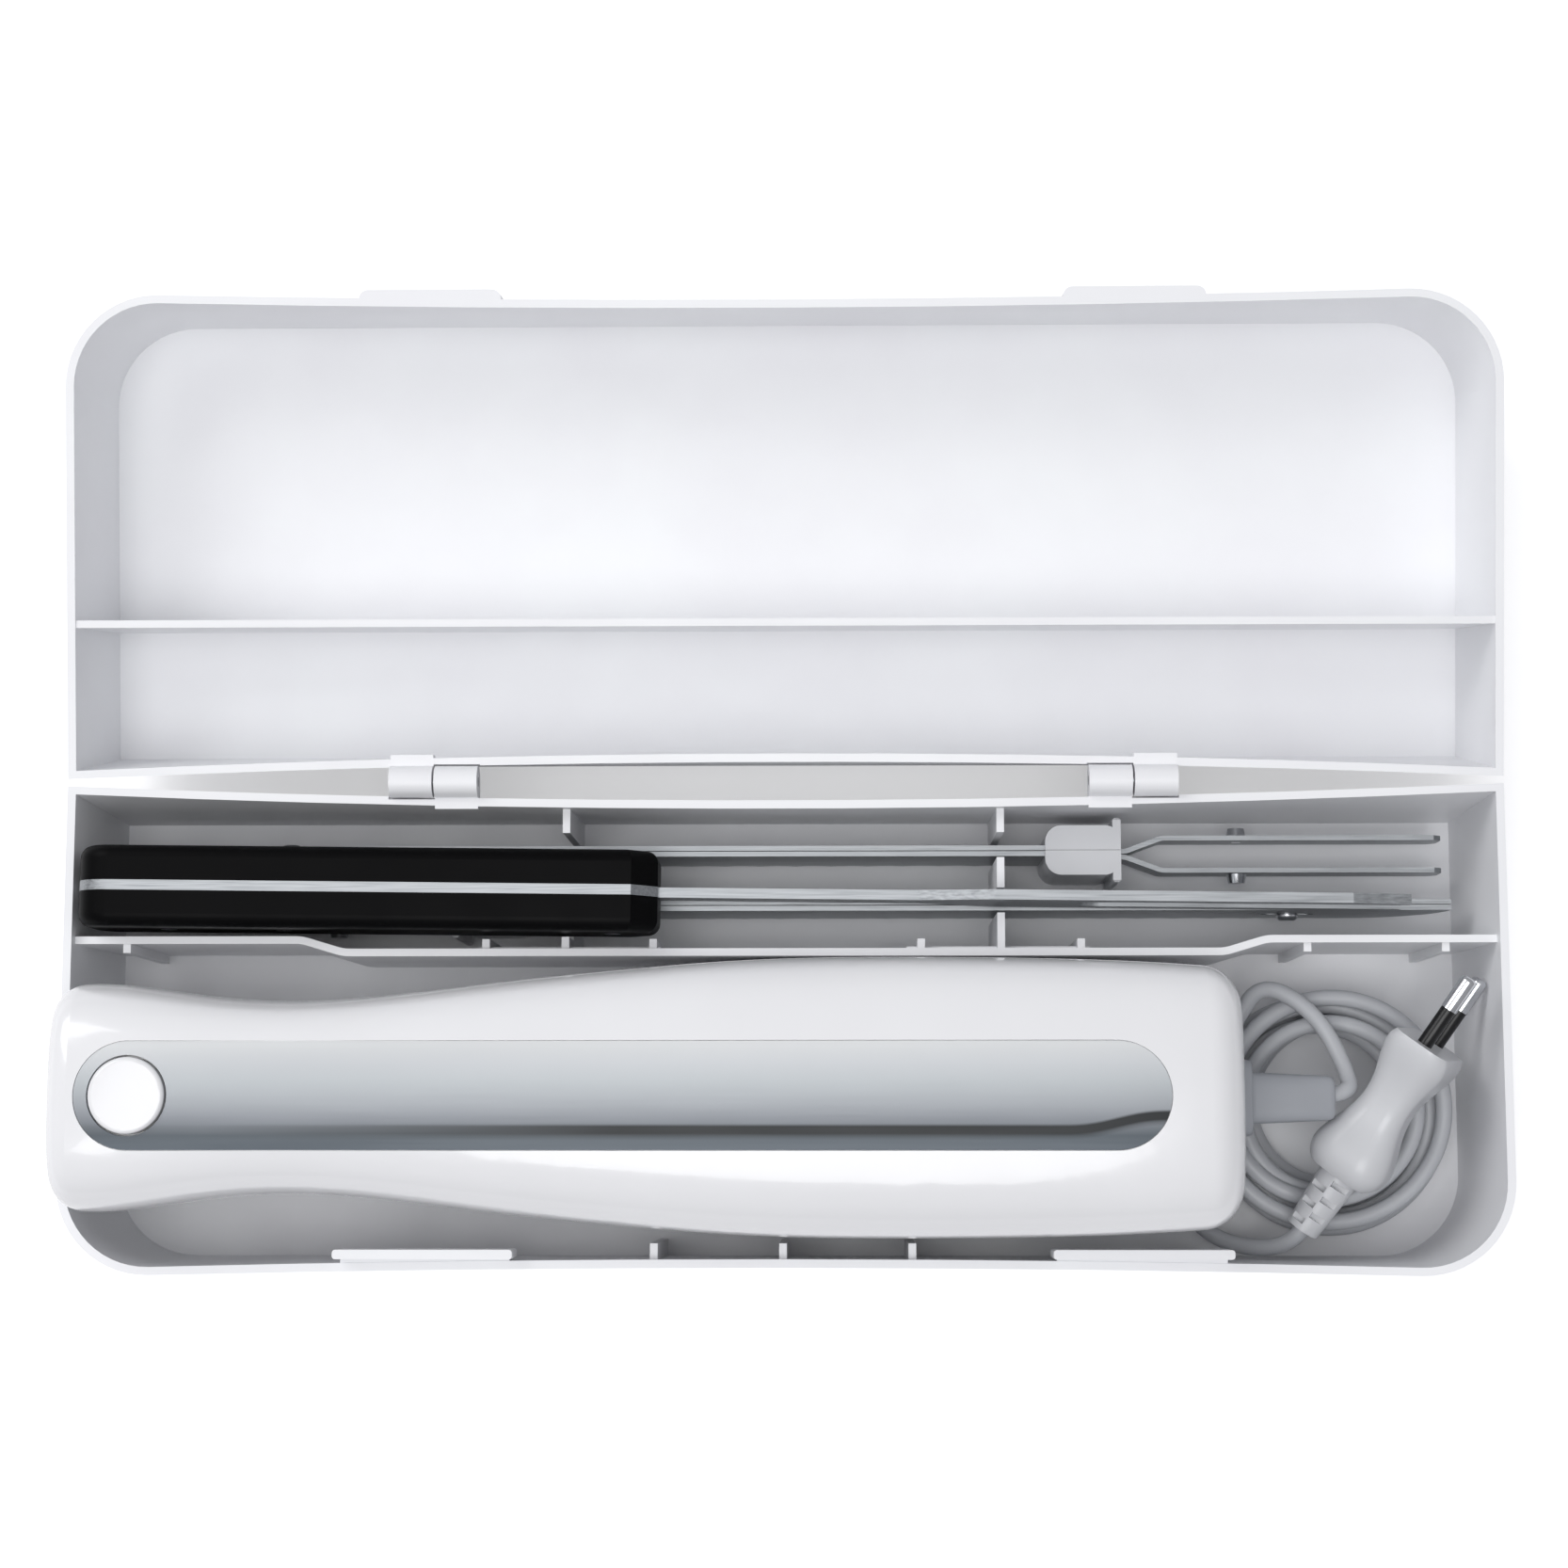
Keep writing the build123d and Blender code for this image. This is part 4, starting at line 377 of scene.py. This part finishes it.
def build_gland():
    """The soft boot behind the tail: a plate against the housing and a plain tapered sleeve."""
    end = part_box("cord_gland")[1][0]
    sections = [(x * MM, wide * MM, tall * MM) for x, wide, tall in BOOT_SECTIONS_MM]
    sections += [(end - back * MM, wide * MM, tall * MM) for back, wide, tall in LIP_SECTIONS_MM]
    shape = bmesh.new()
    ring = bmesh.ops.create_circle(shape, segments=BOOT_POINTS, radius=0.5, cap_ends=True)["verts"]
    bmesh.ops.rotate(shape, verts=ring, matrix=Matrix.Rotation(math.pi / 2, 3, "Y"))
    face = next(iter(shape.faces))
    for index, (x, wide, tall) in enumerate(sections):
        if index:
            face = bmesh.ops.extrude_discrete_faces(shape, faces=[face])["faces"][0]
        for step, corner in enumerate(face.verts):
            across, up = math.cos(math.tau * step / BOOT_POINTS), math.sin(math.tau * step / BOOT_POINTS)
            bow = (abs(across) ** BOOT_POWER + abs(up) ** BOOT_POWER) ** (-1 / BOOT_POWER)
            corner.co = (x, GLAND_MOUTH.y + bow * across * wide / 2, GLAND_MOUTH.z + bow * up * tall / 2)
    bmesh.ops.recalc_face_normals(shape, faces=shape.faces)
    piece = meshed("gland_boot", shape)
    piece.data.shade_smooth()
    piece.data.materials.append(bpy.data.materials["Soft PVC Mouldings"])
    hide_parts("cord_gland")
    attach(piece, "machine")


# Springs
WIRE_POINTS = 8
STEPS_PER_TURN = 24


def build_spring(name, node, springs):
    """A wire spring wound in the space of its solid sleeve."""
    low, high = (Vector(corner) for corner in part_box(node))
    centre = (low + high) / 2
    wire = springs.wire
    radius = (high.x - low.x - wire) / 2
    steps = STEPS_PER_TURN * springs.turns
    shape = bmesh.new()
    ring = bmesh.ops.create_circle(shape, segments=WIRE_POINTS, radius=wire / 2, cap_ends=False)["verts"]
    bmesh.ops.rotate(shape, verts=ring, matrix=Matrix.Rotation(math.pi / 2, 3, "X"))
    bmesh.ops.translate(shape, verts=ring, vec=(centre.x + radius, centre.y, low.z + wire / 2))
    bmesh.ops.spin(shape, geom=shape.verts[:] + shape.edges[:], cent=centre, axis=(0, 0, 1),
                   dvec=(0, 0, (high.z - low.z - wire) / steps), angle=math.tau * springs.turns,
                   steps=steps, use_merge=False, use_duplicate=False)
    bmesh.ops.holes_fill(shape, edges=[edge for edge in shape.edges if edge.is_boundary])
    bmesh.ops.recalc_face_normals(shape, faces=shape.faces)
    piece = meshed(name, shape)
    piece.data.shade_smooth()
    piece.data.materials.append(bpy.data.materials["Drawn Spring Wire"])
    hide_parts(node)
    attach(piece, "machine")
    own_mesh(piece)


# Finishes of the solids that stay
def finish(mat, *names):
    """Gives a material to every slot of some nodes."""
    for name in names:
        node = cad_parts[name]
        if not node.material_slots:
            node.data.materials.append(mat)
        for place in node.material_slots:
            place.material = mat


def build_finishes():
    """Every solid that shows gets its finish."""
    hands = [f"{pair}_{hand}" for pair in ("pair_a", "pair_b") for hand in ("near", "far")]
    # Injection-moulded polypropylene: satin, faintly pebbled, cool white
    finish(moulded("Moulded Polypropylene", "#F3F4F6", "#EFEFF2", 0.4, 1.4, 0.03), "case_base", "case_lid")
    # Polished ABS: mirror-like skin over white, so soft lamps draw clean edges on it
    finish(moulded("Polished White ABS", "#F0F0F2", "#EDEDEF", 0.2, 3.0, 0.005,
                   Coat_Weight=0.5, Coat_Roughness=0.05),
           "upper_housing", "lower_housing", "release_button")
    finish(plated_inlay(), "top_inlay")
    # Moulded grey ABS: plain, satin
    finish(moulded("Moulded Grey ABS", "#A6A8AD", "#9C9EA3", 0.4, 1.2, 0.02),
           "nose_plate", "trigger", "cord_clamp")
    # Soft PVC mouldings: a dull sheen over a grey darker than the cord's
    finish(moulded("Soft PVC Mouldings", "#A6A9AF", "#9EA1A7", 0.38, 1.4, 0.02, Coat_Weight=0.15),
           "cord_gland")
    # Pale PVC moulding: the plug's lighter mix of the same plastic
    finish(moulded("Pale PVC Moulding", "#D6D7DA", "#CFD0D3", 0.34, 1.4, 0.02, Coat_Weight=0.15),
           "plug_body", "plug_relief")
    # Moulded black nylon: deep black with a narrow sheen
    finish(moulded("Moulded Black Nylon", "#0D0D0F", "#141416", 0.3, 1.2, 0.01, Specular_IOR_Level=0.4),
           "pin_sleeves")
    # Nickel plate: bright and smooth over brass
    finish(turned("Nickel Plate", "#D9DADD", "#C6C8CC", 0.1), "plug_pins")
    # Drawn spring wire: smooth grey metal, given to the springs when they are wound
    turned("Drawn Spring Wire", "#B8BABD", "#A2A4A8", 0.22)
    # Turned steel: smooth grey with faint smears
    finish(turned("Turned Steel", "#AAACB0", "#97999D", 0.28), "hinge_pins", "housing_screws", "wheel_axle",
           "trigger_pin", "crank_pins", "motor_shaft", "button_bracket", "gearbox_frame")
    # Ground cutlery steel: long grinding lines from tang to tip
    finish(drawn("Ground Cutlery Steel", "#B6B9BC", "#8F9295", 0.42, 0.4),
           "fork_blank", *[hand + "_blade" for hand in hands])
    # Polished rivet steel: brighter and smoother than what it holds
    finish(turned("Polished Rivet Steel", "#CDCED1", "#B4B6BA", 0.16),
           "pair_a_rivet", "pair_b_rivet", "fork_rivets", *[hand + "_stud" for hand in hands])
    # Moulded white acetal: soft gloss on the finger guards
    finish(moulded("Moulded White Acetal", "#E2E3E6", "#DADBDE", 0.32, 1.6, 0.01),
           *[hand + "_guard" for hand in hands])
    # Moulded phenolic: deep black handle with a fine matt skin
    finish(moulded("Moulded Phenolic", "#040405", "#070708", 0.42, 0.9, 0.02, Specular_IOR_Level=0.06),
           "fork_scales")
    # Pressed steel: rolling lines on the slides and clips
    finish(drawn("Pressed Steel", "#B9BBBF", "#93959A", 0.3, 0.6),
           "near_drive_slide", "far_drive_slide", "near_tang_clip", "far_tang_clip")
    # Natural acetal: warm white of unpigmented gears
    finish(moulded("Natural Acetal", "#E6E3D6", "#DAD6C7", 0.42, 1.5, 0.02),
           "slide_guide", "worm_wheel", "cooling_fan", "suppressor")
    # Pressed carbon: dull black, slightly grainy
    finish(moulded("Pressed Carbon", "#1A1A1C", "#262628", 0.5, 0.8, 0.04), "power_switch", "carbon_brushes")
    # Sintered bronze: dull gold
    finish(turned("Sintered Bronze", "#B08A4C", "#94733C", 0.34), "shaft_bearings", "brush_holders")
    # Stacked lamination iron: 1 mm sheets, twice as thick as real ones so that they show
    finish(banded("Stacked Lamination Iron", "#66686C", "#3A3B3E", 1.0, "X", 0.8, 0.45),
           "stator_core", "armature_core")
    # Enamelled copper wire: 0.8 mm strands side by side
    finish(banded("Enamelled Copper Wire", "#B4642E", "#5A2A12", 0.8, "Z", 0.6, 0.35), "field_coils")
    # Turned copper: bright, faintly smeared
    finish(turned("Turned Copper", "#BE7545", "#A5603A", 0.24), "commutator")


# Stage
FLOOR_REACH = 6.0
FLOOR_GLOW = 0.35
LAMPS_AIM = Vector((0.0, 0.04, 0.03))


def build_floor():
    """White paper, lifted a little for the camera so that it reads as white and keeps its shadow."""
    shape = bmesh.new()
    bmesh.ops.create_grid(shape, x_segments=1, y_segments=1, size=FLOOR_REACH)
    floor = meshed("studio_floor", shape)
    mat, tree, shader, _ = fresh(
        "Studio Paper", Roughness=0.9, Base_Color=colour("#FAFAFB"), Emission_Color=(1, 1, 1, 1))
    shader.inputs["Specular IOR Level"].default_value = 0.0
    seen = add(tree, "ShaderNodeLightPath")
    glow = add(tree, "ShaderNodeMath", {"operation": "MULTIPLY"}, {0: seen.outputs["Is Camera Ray"]})
    glow.inputs[1].default_value = FLOOR_GLOW
    tree.links.new(glow.outputs["Value"], shader.inputs["Emission Strength"])
    floor.data.materials.append(mat)


def build_lights(stage):
    """Two soft lamps and an even surround."""
    for name, place, size, power in (
        ("key_lamp", Vector((-1.2, 0.9, 1.3)), 1.0, stage.key),
        ("overhead_lamp", Vector((-0.2, -0.5, 2.35)), 1.4, stage.overhead),
    ):
        lamp = bpy.data.lights.new(name, "AREA")
        lamp.shape = "SQUARE"
        lamp.size = size
        lamp.energy = power
        holder = placed(name, lamp)
        holder.location = place
        holder.rotation_euler = (LAMPS_AIM - place).to_track_quat("-Z", "Y").to_euler()

    world = bpy.data.worlds.new("studio_world")
    world.use_nodes = True
    back = world.node_tree.nodes["Background"]
    back.inputs["Color"].default_value = colour("#FAFBFF")
    back.inputs["Strength"].default_value = stage.surround
    bpy.context.scene.world = world


def build_camera(stage):
    """The camera of the photograph."""
    lens = bpy.data.cameras.new("photo_camera")
    lens.lens = stage.lens
    lens.sensor_width = 36.0
    lens.clip_start = 0.01
    camera = placed("photo_camera", lens)
    ahead = Vector(stage.ahead).normalized()
    right = ahead.cross(Vector((0, 1, 0))).normalized()
    turn = Matrix((right, right.cross(ahead), -ahead)).transposed()
    camera.matrix_world = Matrix.Translation(stage.eye) @ turn.to_4x4()
    bpy.context.scene.camera = camera


def build_stage(stage):
    """Floor, lights and camera."""
    build_floor()
    build_lights(stage)
    build_camera(stage)
    bpy.context.scene.view_settings.view_transform = "Standard"


# Operators
class CARVING_OT_stage(Operator):
    """Set the floor, lamps, surround and camera"""
    bl_idname = "carving.stage"
    bl_label = "Stage"

    def execute(self, context):
        build_stage(context.scene.carving_stage)
        return {"FINISHED"}


class CARVING_OT_finishes(Operator):
    """Give every solid its finish"""
    bl_idname = "carving.finishes"
    bl_label = "Finishes"

    def execute(self, context):
        build_finishes()
        return {"FINISHED"}


class CARVING_OT_cord(Operator):
    """Lay the mains cord"""
    bl_idname = "carving.cord"
    bl_label = "Mains Cord"

    def execute(self, context):
        build_cord(context.scene.carving_cord)
        return {"FINISHED"}


class CARVING_OT_gland(Operator):
    """Mould the cord gland's boot"""
    bl_idname = "carving.gland"
    bl_label = "Gland Boot"

    def execute(self, context):
        build_gland()
        return {"FINISHED"}


class CARVING_OT_springs(Operator):
    """Wind the two control springs"""
    bl_idname = "carving.springs"
    bl_label = "Control Springs"

    def execute(self, context):
        springs = context.scene.carving_springs
        build_spring("release_coil", "release_spring", springs)
        build_spring("trigger_coil", "trigger_spring", springs)
        return {"FINISHED"}


OPERATORS = ("carving.stage", "carving.finishes", "carving.cord", "carving.gland", "carving.springs")


class CARVING_PT_dressing(Panel):
    """Buttons for each group of pieces"""
    bl_label = "Carving Knife"
    bl_idname = "CARVING_PT_dressing"
    bl_space_type = "VIEW_3D"
    bl_region_type = "UI"
    bl_category = "Carving"

    def draw(self, context):
        for name in OPERATORS:
            self.layout.operator(name)


SETTINGS = (
    ("carving_cord", CarvingCordSettings),
    ("carving_springs", CarvingSpringSettings),
    ("carving_stage", CarvingStageSettings),
)
CLASSES = tuple(group for name, group in SETTINGS) + (
    CARVING_OT_stage,
    CARVING_OT_finishes,
    CARVING_OT_cord,
    CARVING_OT_gland,
    CARVING_OT_springs,
    CARVING_PT_dressing,
)


def register():
    """Registers the classes and the scene's settings."""
    for item in CLASSES:
        bpy.utils.register_class(item)
    for name, group in SETTINGS:
        setattr(bpy.types.Scene, name, PointerProperty(type=group))


def unregister():
    """Takes the settings and classes out again."""
    for name, group in SETTINGS:
        delattr(bpy.types.Scene, name)
    for item in reversed(CLASSES):
        bpy.utils.unregister_class(item)


def main():
    """Dresses the whole set."""
    register()
    bpy.ops.carving.stage()
    bpy.ops.carving.finishes()
    bpy.ops.carving.cord()
    bpy.ops.carving.gland()
    bpy.ops.carving.springs()


if __name__ == "__main__":
    main()
